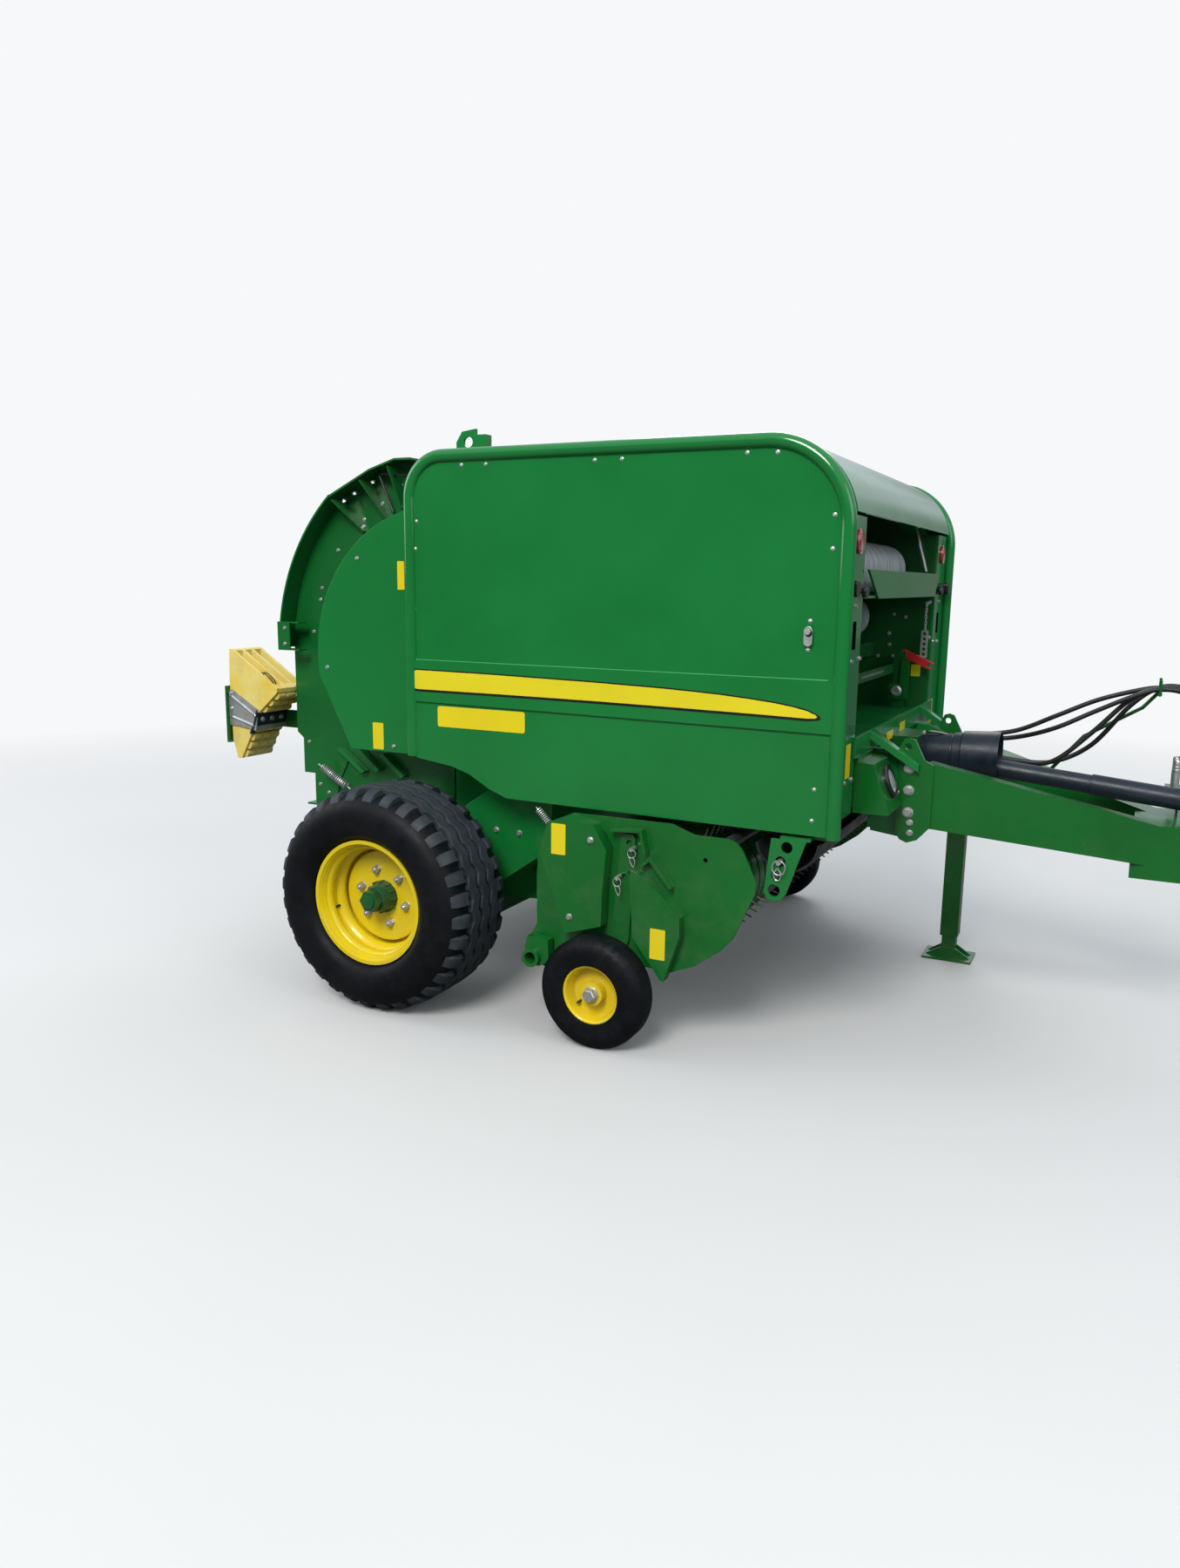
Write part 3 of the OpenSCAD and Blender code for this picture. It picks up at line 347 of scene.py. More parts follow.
softened_nodes = {
    "side_plates": "green_sheet", "frame_pins": "dark_sheet", "side_guards": "green_sheet",
    "cross_beams": "dark_sheet", "roof": "green_sheet", "front_posts": "green_mirror",
    "platform": "green_sheet", "axle": "green_frame", "front_rollers": "green_frame",
    "drawbar": "green_frame", "hitch_eye": "bare_forging", "gearbox": "dark_sheet",
    "net_tray": "green_mirror", "light_boxes": "green_frame", "tailgate_sides": "green_painted_shade",
    "tailgate_covers": "green_gloss", "tailgate_rollers": "green_frame", "tailgate_bars": "green_frame",
    "hood": "green_mirror", "side_shield_right": "green_gloss", "side_shield_left": "green_gloss",
    "pickup_sides": "green_frame", "pickup_bands": "green_frame", "gauge_arms": "green_frame",
    "feed_rotor": "dark_sheet", "jack": "green_frame", "hub_right": "green_hub", "hub_left": "green_hub",
    "rim_right": "yellow_rim", "rim_left": "yellow_rim", "gauge_rim_right": "yellow_rim",
    "gauge_rim_left": "yellow_rim", "net_lever": "red_lever", "pto_guard": "black_guard",
    "pto_shaft": "black_guard", "baffle": "black_apron", "wind_guard": "black_tube",
    "chock_holder": "zinc", "net_feed": "zinc", "hose_ports": "zinc",
    "ram_barrel_right": "dark_sheet", "ram_barrel_left": "dark_sheet", "ram_rod_right": "chrome",
    "ram_rod_left": "chrome", "tine_reel": "spring_steel",
    "gauge_tyre_right": "tyre_rubber", "gauge_tyre_left": "tyre_rubber",
}
edge_of_node = {"tine_reel": 0, "hose_ports": 0.6, "net_feed": 0.5, "wind_guard": 0.8, "tailgate_covers": 3}
for node, finish in softened_nodes.items():
    made = softened(node, finish, edge_of_node.get(node, EDGE))
    print(node, len(made.data.polygons))

# %% [markdown]
# Most small things are plates or thin foils. A plate is drawn as one flat face
# and pushed to its thickness. It either lies along the machine, with its
# outline in x and z, or stands across it, with its outline in y and z.

# %% Flat pieces
def flat(corners, push, edge=0):
    """A plate: its corners in drawing millimetres, and how far it is pushed (x, y, z)."""
    piece = drawn("flat", [at(*c) for c in corners], faces=[list(range(len(corners)))])
    moved = {"TRANSFORM_OT_translate": {"value": [v / 1000 for v in push]}}
    edited(piece, (bpy.ops.mesh.extrude_region_move, moved), OUTWARDS)
    return bevelled(piece, edge) if edge else piece


def upright(outline, y, thick, edge=0):
    """outline is a list of (x, z); the plate grows from y by its thickness, which may be negative."""
    return flat([(x, y, z) for x, z in outline], (0, thick, 0), edge)


def across(outline, x, thick, edge=0):
    """outline is a list of (y, z); the plate grows from x by its thickness, which may be negative."""
    return flat([(x, y, z) for y, z in outline], (thick, 0, 0), edge)


def rounded(x0, z0, x1, z1, r):
    """A rectangle's outline with round corners, each of them an arc of six points."""
    out = []
    corners = ((x1 - r, z1 - r), (x0 + r, z1 - r), (x0 + r, z0 + r), (x1 - r, z0 + r))
    for quarter, (cx, cz) in enumerate(corners):
        for k in range(6):
            a = math.radians(90 * quarter + 18 * k)
            out.append((cx + r * math.cos(a), cz + r * math.sin(a)))
    return out


print("plate helpers ready")

# %% [markdown]
# A few planes of the CAD come back again and again. Most are upright faces at
# one distance from the middle, the same on both sides: the shields' panels with
# the band and the latch's seat, the tailgate's cover, wall and rim, the net
# box's inner wall, the side guards, the pick-up's drive box and the drawbar's
# end plates. The posts' front face is counted from the axle.

# %% Sides, and planes of the sheets
SHIELD_FACE = 937
LOW_FACE = 941
BAND_FACE = 945
LATCH_FACE = 947
COVER_FACE = 788
WALL_FACE = 597
RIM_FACE = 690
INNER_FACE = 670
GUARD_FACE = 798
DRIVE_FACE = 1050
DRAWBAR_FACE = 431
POST_FACE = 1640
# The machine's two sides: the sign of y, the name, and the direction that faces out
HANDS = ((-1, "right", "-y"), (1, "left", "+y"))
print("shield", SHIELD_FACE, LOW_FACE, BAND_FACE, LATCH_FACE, "tailgate", COVER_FACE, WALL_FACE, RIM_FACE)
print("net box", INNER_FACE, "guard", GUARD_FACE, "drive", DRIVE_FACE, "drawbar", DRAWBAR_FACE)
print("posts", POST_FACE)

# %% [markdown]
# The yellow band on the side shield is a printed strip with a black line under
# it and around its pointed front end. Both are foils: the black one lies below
# and is a little larger. A plain yellow plate follows under the band.

# %% Bands on the side shields
upper_line = [(52, 1267), (176, 1266), (365, 1264.5), (605, 1261), (833, 1257), (1050, 1251), (1154, 1247),
              (1255, 1241.5), (1355, 1234), (1440, 1225.5), (1500, 1217), (1547, 1207), (1573, 1197),
              (1581, 1190)]
lower_line = [(1574, 1185), (1548, 1183.5), (1357, 1187.5), (1051, 1191.5), (834, 1194), (606, 1195.5),
              (365, 1196), (52, 1196)]
rear_end = [(45, 1198), (41, 1204), (41, 1259), (45, 1265)]
band_outline = upper_line + lower_line + rear_end
shadow_outline = [(x, z + 5) for x, z in upper_line[:-1]] + [(1592, 1191), (1588, 1180)]
shadow_outline += [(x, z - 9) for x, z in lower_line[1:]]
shadow_outline += [(40, 1188), (33, 1195), (33, 1264), (41, 1271)]
for away, hand, way in HANDS:
    body = f"side_shield_{hand}"
    shadow = upright(shadow_outline, away * BAND_FACE, away * 0.5)
    close(shadow, f"band_shadow_{hand}", body, "black_foil")
    band = upright(band_outline, away * (BAND_FACE + 0.5), away * 0.5)
    close(band, f"yellow_band_{hand}", body, "yellow_stripes")
    dealer_plate = upright(rounded(142, 1060, 518, 1137, 9), away * LOW_FACE, away * 0.6)
    close(dealer_plate, f"dealer_plate_{hand}", body, "yellow_foil")
print("bands", len(band_outline), "points each")

# %% [markdown]
# The wheel chocks are mouldings: four walls stand between three lanes, and the
# lanes have teeth on top and deep scoops in the curved face that meets the
# tyre. Walls and lanes are plates with the same rear edge, and only the lanes'
# upper and lower edges are cut.

# %% Wheel chocks
def scooped(p, q, count, depth, land):
    """Points from p to q with half-round scoops to the line's right, or left if depth is negative."""
    p, q = Vector(p), Vector(q)
    stride = (q - p) / count
    inwards = Vector((stride.y, -stride.x)).normalized() * depth
    out = [p]
    for k in range(count):
        for t in range(9):
            a = math.pi * t / 8
            step = land / 2 + (1 - land) * (1 - math.cos(a)) / 2
            out.append(p + stride * (k + step) + inwards * math.sin(a))
    return [tuple(v) for v in out + [q]]


rear_edge = [(-1086, 804), (-1110, 804), (-1134, 884), (-1140, 1150), (-1134, 1288), (-1116, 1288)]
wall = rear_edge + [(-866, 1128), (-866, 1108), (-972, 1018), (-1000, 960)]
lane = rear_edge + [(-1108, 1282), (-1108, 1222)]
for k in range(6):
    x, z = -1105 + 31 * k, 1220 - 18.5 * k
    lane += [(x, z), (x + 22, z + 6), (x + 28, z - 9)]
lane += [(-918, 1107), (-892, 1143), (-866, 1126)]
lane += scooped((-866, 1108), (-972, 1018), 3, -17, 0.22)
lane += scooped((-1000, 960), (-1086, 804), 4, -15, 0.2)[:-1]
chock_parts = [upright(wall, -y, wide, 2) for y, wide in ((700, 14), (642, 11), (587, 11), (532, 14))]
chock_parts += [upright(lane, -y, 46, 1) for y in (687, 632, 577)]
chocks = close(joined(chock_parts), "wheel_chocks_moulded", "tailgate", "chock_plastic", 40)
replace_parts(chocks, "wheel_chocks")
print("chock faces", len(chocks.data.polygons))

# %% [markdown]
# Small blank plates mark the places where the real machine carries printed
# notices. Each is a thin yellow foil with round corners and nothing on it.

# %% Blank plates
PLATE_LIFT = 0.2
plate_places = [
    ("cover_upper", "tailgate", -145, 1560, -112, 1669, COVER_FACE),
    ("cover_lower", "tailgate", -282, 922, -229, 1030, COVER_FACE),
    ("drive_box", "pickup", 689, 662, 745, 772, DRIVE_FACE),
    ("wedge", "pickup", 1066, 337, 1122, 445, 1036),
]
for label, body, x0, z0, x1, z1, y in plate_places:
    for away, hand, way in HANDS:
        plate = upright(rounded(x0, z0, x1, z1, 4), away * (y + PLATE_LIFT), away * 0.5)
        close(plate, f"plate_{label}_{hand}", body, "yellow_foil")
print("plates", 2 * len(plate_places))

# %% [markdown]
# Hexagon bolts hold most of the sheets. One of each size is modelled: a
# six-sided head with a bevelled top on a round washer. Copies, each with its
# own mesh, are set where the photograph shows them and mirrored to the left
# side, and the bolts of one group are joined.

# %% Bolts
def hex_head(width, height, washer):
    """width over the flats, height, and the washer's radius, in millimetres.
    The head is modelled upright, 1.5 mm up in its washer, and then tipped to the lathe's axis."""
    bpy.ops.mesh.primitive_cylinder_add(vertices=6, radius=width / 2000 / math.cos(math.pi / 6),
                                        depth=height / 1000, location=(0, 0, height / 2000 + 0.0015))
    head = bpy.context.object
    bpy.ops.object.transform_apply(location=True, rotation=True, scale=True)
    bevelled(head, width * 0.07)
    head.data.transform(ALONG["+z"].inverted())
    ring = turned([(0.01, 0), (washer, 0), (washer, 1.2), (washer - 0.6, 1.8), (0.01, 1.8)], 20)
    return joined([head, ring])


def bolts(name, body, proto, places):
    """places are (x, y, z, way); each copy is spun a little further than the last."""
    made = [copy_of(proto, at(x, y, z), ALONG[way] @ Matrix.Rotation(0.7 * k, 4, "Y"))
            for k, (x, y, z, way) in enumerate(places)]
    return close(joined(made), name, body, "zinc")


def both_hands(face, places):
    """Places (x, z) on a face of the right side, repeated on the left."""
    return [(x, away * face, z, way) for x, z in places for away, hand, way in HANDS]


small_bolt = hex_head(11, 5, 8.5)
bolt = hex_head(16, 8, 12)
large_bolt = hex_head(24, 12, 19)
bolts("cover_bolts", "tailgate", small_bolt,
      both_hands(COVER_FACE, [(-340, 1679), (-507, 1241), (-180, 938)]))
bolts("guard_bolts", "frame", bolt, both_hands(GUARD_FACE, [(310, 654), (412, 652)]))
bolts("drawbar_bolts", "frame", large_bolt, both_hands(DRAWBAR_FACE, [(1779, 969), (1782, 891), (1784, 812)]))
bolts("drawbar_small_bolts", "frame", bolt, both_hands(DRAWBAR_FACE, [(1792, 776), (1794, 739)]))
bolts("drive_bolts", "pickup", bolt, both_hands(DRIVE_FACE, [(842, 728), (762, 442)]))
front_places = [(-795, 960), (-704, 960), (-775, 1532), (-681, 1361), (-792, 1356)]
bolts("front_bolts", "frame", small_bolt,
      [(POST_FACE, away * y, z, "+x") for y, z in front_places for away in (1, -1)])
for proto in (small_bolt, bolt, large_bolt):
    proto.hide_render = True
print("bolts placed")

# %% [markdown]
# Small rods, wires and springs are drawn as curves and made meshes. A spring is
# a helix that runs out into a straight end on each side.

# %% Wires and springs
def tube(points, radius):
    """A round bar through points in drawing millimetres, as a closed mesh."""
    piece = curve_through([at(*p) for p in points], radius / 1000, "tube")
    piece.data.resolution_u = 3
    piece.data.bevel_resolution = 2
    pick(piece)
    bpy.ops.object.convert(target="MESH")
    return edited(bpy.context.object, merged(0.00001), OUTWARDS)


def straight(p, q, radius):
    """A straight bar needs a point close to each end, so that its caps stay square."""
    p, q = Vector(p), Vector(q)
    return tube([p, p.lerp(q, 0.02), p.lerp(q, 0.98), q], radius)


def hoop(middle, width, height, radius):
    """A closed ring of wire, upright along the machine."""
    x, y, z = middle
    turns = [2 * math.pi * k / 12 for k in range(13)]
    return tube([(x + width * math.cos(a), y, z + height * math.sin(a)) for a in turns], radius)


PER_TURN = 10


def spring(p, q, coil_r, wire_r, turns):
    """A helix with straight ends, from p to q."""
    p, q = Vector(p), Vector(q)
    axis = (q - p).normalized()
    second = axis.cross(Vector((0, 1, 0))).normalized()
    third = axis.cross(second)
    first, last = p.lerp(q, 0.14), p.lerp(q, 0.86)
    points = [p, p.lerp(first, 0.8)]
    for k in range(turns * PER_TURN + 1):
        a = 2 * math.pi * k / PER_TURN
        outwards = second * math.cos(a) + third * math.sin(a)
        points.append(first.lerp(last, k / turns / PER_TURN) + outwards * coil_r)
    return tube(points + [q.lerp(last, 0.8), q], wire_r)


print("wires ready")

# %% [markdown]
# Each side shield is held by small dome-headed screws along its raised rim,
# and by a latch: an oval plate with a round knob between two screws.
# A thin lip crosses the shield where the upper panel ends above the band; its lighter green is a painted
# highlight.

# %% Shield screws and latch
dome_screw = turned([(0.01, 0), (7, 0), (7, 1.2), (5.4, 1.6), (5.1, 2.8), (3.7, 4.0), (2.4, 4.4), (1.8, 3.4),
                     (0.01, 3.2)], 16)
rim_screws = [(255, 2001), (356, 2000), (784, 1998), (884, 1998), (1316, 2000), (1414, 1998), (56, 1809),
              (50, 1711), (41, 1493), (39, 1394), (1602, 1808), (1600, 1707), (1541, 1487), (1538, 1398)]
low_screws = [(26, 1084), (23, 983), (1581, 958), (1578, 856)]
for away, hand, way in HANDS:
    body = f"side_shield_{hand}"
    places = [(x, away * (SHIELD_FACE - 0.3), z, way) for x, z in rim_screws]
    places += [(x, away * (LOW_FACE - 0.3), z, way) for x, z in low_screws]
    bolts(f"shield_screws_{hand}", body, dome_screw, places)
    plate = upright(rounded(1526, 1409, 1554, 1471, 13.9), away * LATCH_FACE, away * 5, 1.5)
    knob = place(turned([(0.01, 0), (9, 0), (9, 4), (7.5, 5.5), (0.01, 5.5)], 24),
                 at(1539, away * (LATCH_FACE + 4.5), 1453), ALONG[way])
    # A black disc set a little below and in front of the knob leaves a dark crescent beside it: the knob's
    # painted shadow.
    shade = place(turned([(0.01, 0), (11.5, 0), (11.5, 0.5), (0.01, 0.5)], 24),
                  at(1542, away * (LATCH_FACE + 4.8), 1450), ALONG[way])
    close(joined([plate, knob]), f"latch_{hand}", body, "zinc")
    close(shade, f"latch_knob_painted_shadow_{hand}", body, "black_foil")
    section = [(-1, 1309), (-1, 1298.5), (3.6, 1298.5), (3.6, 1300)]
    lip = across([(away * (SHIELD_FACE + out), z) for out, z in section], 12, 1594)
    close(lip, f"panel_lip_{hand}", body, "lip_painted_highlight")
dome_screw.hide_render = True
print("screws on each shield", len(rim_screws) + len(low_screws))

# %% [markdown]
# The tailgate is the busiest side: bolts along the ribs that stiffen its rim,
# a row on the wall beside the cover and two on the rim's bracket, then thin
# rods, the foot's tension spring and slanting struts.

# %% Tailgate fittings
rib_bolts = [(-506, 1918), (-451, 1947), (-357, 1989)]
wall_bolts = [(-353, 1902), (-449, 1841), (-525, 1879), (-293, 2010), (-257, 1973), (-260, 1916),
              (-248, 1868), (-453, 1812), (-591, 1717), (-684, 1559), (-694, 1510), (-738, 1373)]
foot_bolts = [(-722, 705), (-675, 672), (-777, 890)]
rim_bolts = [(-811, 1389), (-813, 1322)]
for away, hand, way in HANDS:
    faces = ((wall_bolts, WALL_FACE), (foot_bolts, WALL_FACE + 8), (rim_bolts, RIM_FACE + 6))
    bolts(f"tailgate_bolts_{hand}", "tailgate", small_bolt,
          [(x, away * face, z, way) for places, face in faces for x, z in places])
    under = []
    for x, z in rib_bolts:
        a = math.atan2(z - 1400, x + 200)
        head = copy_of(bolt, Vector((0, 0, 0)), Matrix.Rotation(-a + math.pi / 2, 4, "Y") @ ALONG["-z"])
        under.append(place(head, at(x, away * 655, z - 4)))
    close(joined(under), f"rim_bolts_{hand}", "tailgate", "zinc")
    stays = [straight((-341, away * 640, 2025), (-269, away * 640, 1866), 5),
             straight((-319, away * 652, 2014), (-200, away * 652, 2004), 5)]
    close(joined(stays), f"latch_rods_{hand}", "tailgate", "black_foil")
    foot_spring = spring((-690, away * 650, 805), (-512, away * 650, 706), 15, 3.2, 15)
    close(foot_spring, f"foot_spring_{hand}", "tailgate", "zinc")
    struts = [upright([(x0, z0), (x1, z1), (x1 + 16, z1 + 12), (x0 + 16, z0 + 12)], away * 601, away * 34, 1)
              for x0, z0, x1, z1 in ((-600, 872, -470, 778), (-500, 878, -392, 790), (-372, 862, -262, 776))]
    close(joined(struts), f"struts_{hand}", "tailgate", "green_sheet")
print("tailgate bolts", len(wall_bolts) + len(foot_bolts) + len(rim_bolts))

# %% [markdown]
# The chocks' steel strap has two embossed ribs. Its front face, across the
# chocks' curved faces, is a dark plate with three small bolts: painted shade on
# the strap. Two wires lie in the first lane.

# %% Strap, band and wires of the chocks
ribs = [straight((-1126, -700, 1080), (-998, -700, 1006), 10),
        straight((-1126, -700, 988), (-1006, -700, 958), 10)]
close(joined(ribs), "strap_ribs", "tailgate", "zinc")
bolts("strap_bolts", "tailgate", small_bolt, [(-1128, -706, 1094, "-y"), (-1128, -706, 1026, "-y"),
                                              (-1150, -690, 1094, "-x"), (-1150, -690, 1026, "-x")])
# The strap's front face is a separate dark plate; its darkness is painted shade.
band = upright([(-984, 1030), (-974, 1013), (-996, 952), (-1018, 918), (-1028, 922), (-1005, 960),
                (-990, 1006)], -708, 192, 1)
close(band, "strap_front_painted_shade", "tailgate", "black_guard")
tilted = Matrix.Rotation(math.radians(18), 4, "Y") @ ALONG["+x"]
small = [place(copy_of(bolt, Vector((0, 0, 0)), tilted), at(-984, y, 984)) for y in (-670, -612, -554)]
close(joined(small), "band_bolts", "tailgate", "zinc")
wires = [tube([(-893, y, 1128), (-899, y, 1152), (-925, y, 1178), (-955, y, 1192), (-965, y, 1180)], 2.2)
         for y in (-688, -672)]
close(joined(wires), "chock_wires", "tailgate", "black_foil")
print("chock fittings made")

# %% [markdown]
# At the front, round red reflectors with raised rings stand in place of the
# plain lamp solids, the hood's rubber latches sit above the posts, and small
# blank plates and bolts follow the edge of the platform. The slots in the
# posts are thin black plates too: painted shade where the openings are.

# %% Front fittings
ridged_disc = [(0.01, 0), (38, 0), (40, 2), (40, 7), (38, 9.5), (36, 8), (29, 8.2), (27, 9.2), (20, 8.2),
               (18, 9.2), (11, 8.2), (9, 9.2), (0.01, 8.2)]
reflectors = [place(turned(ridged_disc, 40), at(POST_FACE, away * 773, 1735), ALONG["+x"])
              for away in (-1, 1)]
reflectors = close(joined(reflectors), "reflectors", body_of_node["lamps"], "lamp_red")
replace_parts(reflectors, "lamps")
# Strap, pull and catch: outline, how far it stands before the posts, thickness, edge
latch_parts = (
    (rounded(735, 1572, 880, 1604, 10), 0, 13, 2),
    (rounded(832, 1562, 884, 1614, 14), 8, 20, 4),
    (rounded(690, 1560, 742, 1592, 12), 10, 14, 4),
)
latches = [across([(away * y, z) for y, z in outline], POST_FACE + before, thick, edge)
           for away in (-1, 1) for outline, before, thick, edge in latch_parts]
close(joined(latches), "hood_latches", "frame", "black_foil")
for label, outline, x in (("platform_left", rounded(14, 991, 112, 1073, 4), 1652),
                          ("platform_right", rounded(-217, 1030, -110, 1062, 4), 1652),
                          ("post_right", rounded(-793, 972, -731, 1085, 4), POST_FACE),
                          ("post_left", rounded(736, 993, 790, 1100, 4), POST_FACE)):
    close(across(outline, x + PLATE_LIFT, 0.5), f"plate_{label}", "frame", "yellow_foil")
# The slots are flat black plates: painted shade where the posts are open.
slots = [across([(away * y, z) for y, z in rounded(748, 1394, 790, 1484, 8)], POST_FACE + 0.2, 0.8)
         for away in (-1, 1)]
close(joined(slots), "post_slots", "frame", "hole_painted_shade")
platform_places = [(-475, 1040), (-578, 1039), (-646, 1033), (124, 1045), (-301, 1045), (262, 1040)]
bolts("platform_bolts", "frame", small_bolt, [(POST_FACE, y, z, "+x") for y, z in platform_places])
print("front fittings made")

# %% [markdown]
# Each light box carries a work light that looks forwards and a little up: a
# black bezel around a ribbed clear lens.

# %% Work lights
LIGHT_WAY = Vector((0, 1, 0)).rotation_difference(Vector((0.943, 0, 0.333))).to_matrix().to_4x4()
bezel = [(0.01, -18), (50, -18), (59, -10), (60, 8), (57, 13), (45, 15), (42, 8), (0.01, 8)]
lens = [(0.01, 7), (42, 7), (42, 10), (38, 11.4), (33, 10.6), (28, 12.2), (23, 11.4), (17, 12.8), (11, 12),
        (6, 13.2), (0.01, 13)]
for profile, name, finish in ((bezel, "light_bezels", "black_foil"),
                              (lens, "light_lenses", "clear_lens")):
    pair = [place(turned(profile, 40), at(1731.8, away * 530, 933), LIGHT_WAY) for away in (-1, 1)]
    close(joined(pair), name, "frame", finish)
bolts("light_bolts", "frame", small_bolt, [(1748, away * 458, 886, "+x") for away in (1, -1)])
print("work lights made")

# %% [markdown]
# Two rolls of net wait in the box, one above the other. A roll is turned with
# shallow waves along its width, as the wound net shows, and with the end of
# its cardboard core set back a little.

# %% Net rolls
WAVES = 44


def net_roll(radius, half):
    width = 2 * half - 12
    outer = [(radius - (0.9 if k % 2 else 0), -half + 6 + width * k / (2 * WAVES))
             for k in range(2 * WAVES + 1)]
    left = [(30, -half + 12), (34, -half + 2), (42, -half + 2), (44, -half + 4), (radius - 3, -half),
            (radius - 1, -half + 3)]
    return turned(left + outer + [(r, -y) for r, y in reversed(left)], 56)


rolls = [place(net_roll(102, 604), at(1420, 0, 1668)), place(net_roll(90, 598), at(1290, 0, 1460))]
rolls = close(joined(rolls), "net_rolls_wound", "frame", "net_streaks_and_painted_sheen", 50)
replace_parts(rolls, "net_rolls")
shaft = straight((1290, -669, 1460), (1290, 669, 1460), 19)
close(shaft, "net_roll_shaft", "frame", "zinc")
print("net rolls wound")

# %% [markdown]
# Inside the net box the wall is bolted and drilled, a bearing holds the feed
# roller's end, and two blank plates are stuck beside it. A row of bright discs
# on a dark strip is painted light, as if seen through holes.

# %% Fittings on the inner wall
inner_bolts = [(1453, 1390), (1458, 1340), (1475, 1290), (1479, 1225), (1410, 1289), (1626, 1376),
               (1522, 1463), (1471, 1474), (1620, 1529)]
bolts("inner_bolts", "frame", small_bolt, [(x, away * INNER_FACE, z, inwards) for x, z in inner_bolts
                                           for away, inwards in ((-1, "+y"), (1, "-y"))])
for label, outline in (("upright", rounded(1495, 1207, 1517, 1257, 3)),
                       ("side", rounded(1559, 1205, 1600, 1256, 3))):
    close(upright(outline, INNER_FACE, -0.6), f"plate_inner_{label}", "frame", "yellow_foil")
carrier = upright([(1486, 1110), (1568, 1110), (1568, 1280), (1534, 1280), (1531, 1176), (1486, 1175)],
                  584, -8, 1)
close(carrier, "bearing_plate", "frame", "green_frame")
bearing = place(turned([(0.01, 0), (24, 0), (25, 4), (21, 9), (18, 12), (12, 12), (11, 8), (0.01, 8)], 32),
                at(1518, 576, 1144), ALONG["-y"])
close(bearing, "wall_bearing", "frame", "zinc")
strip = across([(-670, 1222), (670, 1222), (670, 1262), (-670, 1262)], 1500, -4)
close(strip, "holed_strip", "frame", "dark_sheet")
# Bright discs in a row on the strip: painted light showing through its holes.
lit_holes = [place(turned([(0.01, 0), (6, 0), (6, 1), (0.01, 1)], 12), at(1500, y, 1242), ALONG["+x"])
          for y in range(-6, 370, 25)]
close(joined(lit_holes), "strip_holes_painted_light", "frame", "zinc")
brake_line = [(1546, 1850), (1562, 1795), (1570, 1762), (1586, 1711), (1600, 1660)]
close(tube([(x, 648, z) for x, z in brake_line], 6), "brake_strap", "frame", "zinc")
print("inner wall dressed")

# %% [markdown]
# The pick-up hangs from springs and is set by pinned bars. Each pin has a
# split ring through its end. The springs pull from the side plate to the
# frame above it and stay with the pick-up.

# %% Pick-up fittings
pins, rings = [], []
for away in (-1, 1):
    for x, z in ((989, 709), (936, 602)):
        pins.append(straight((x, away * 1004, z), (x, away * 1034, z), 8))
        rings.append(hoop((x, away * 1031, z - 15), 15, 15, 1.8))
        hook = ((-10, -26), (-4, -46), (8, -62), (12, -40), (4, -26))
        rings.append(tube([(x + dx, away * 1030, z + dz) for dx, dz in hook], 1.8))
close(joined(pins + rings), "adjusting_pins", "pickup", "zinc")
plate_pins = []
for away in (-1, 1):
    plate_pins.append(straight((1484, away * 934, 712), (1484, away * 972, 712), 9))
    plate_pins.append(hoop((1484, away * 966, 694), 22, 24, 2.2))
    hook = ((1478, 954, 690), (1466, 956, 672), (1470, 956, 652), (1484, 956, 650), (1490, 956, 668),
            (1478, 956, 690))
    plate_pins.append(tube([(x, away * y, z) for x, y, z in hook], 2.2))
close(joined(plate_pins), "hanger_pins", "frame", "zinc")
for away, hand, way in HANDS:
    lift_spring = spring((600, away * 1000, 810), (660, away * 1000, 748), 11, 2.4, 8)
    close(lift_spring, f"lift_spring_{hand}", "pickup", "zinc")
print("pins", len(pins))

# %% [markdown]
# The gauge wheels run on a stub axle with a tapered nut, and both kinds of rim
# have a valve on the disc.

# %% Wheel details
VALVE_CIRCLE = 202
VALVE_ANGLE = math.radians(197)
cap_nut = turned([(0.01, 0), (31, 0), (31, 3), (27, 5), (24, 22), (20, 26), (0.01, 26)], 6)
valve = turned([(0.01, 0), (5, 0), (5, 16), (4, 18), (4, 26), (3, 28), (0.01, 28)], 14)
for away, hand, way in HANDS:
    lo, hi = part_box(f"gauge_rim_{hand}")
    face = 1000 * max(abs(lo[1]), abs(hi[1]))
    x, z = (lo[0] + hi[0]) / 2 * 1000 - 1000 * AXLE_X, (lo[2] + hi[2]) / 2 * 1000
    print("gauge rim", hand, "face", round(face, 1), "centre", round(x, 1), round(z, 1))
    nut_piece = copy_of(cap_nut, at(x, away * (face - 10.5), z), ALONG[way])
    close(nut_piece, f"gauge_nut_{hand}", f"gauge_wheel_{hand}", "zinc")
    small_valve = copy_of(valve, at(x - 59, away * (face - 49), z - 46), ALONG[way])
    close(small_valve, f"gauge_valve_{hand}", f"gauge_wheel_{hand}", "black_foil")
    x, z = VALVE_CIRCLE * math.cos(VALVE_ANGLE), AXLE_HEIGHT + VALVE_CIRCLE * math.sin(VALVE_ANGLE)
    main_valve = copy_of(valve, at(x, away * 1130, z), ALONG[way])
    close(main_valve, f"main_valve_{hand}", f"wheel_{hand}", "black_foil")
cap_nut.hide_render = valve.hide_render = True
print("wheel details made")

# %% [markdown]
# The shaft's guard is closed by a clamp lever on its top.

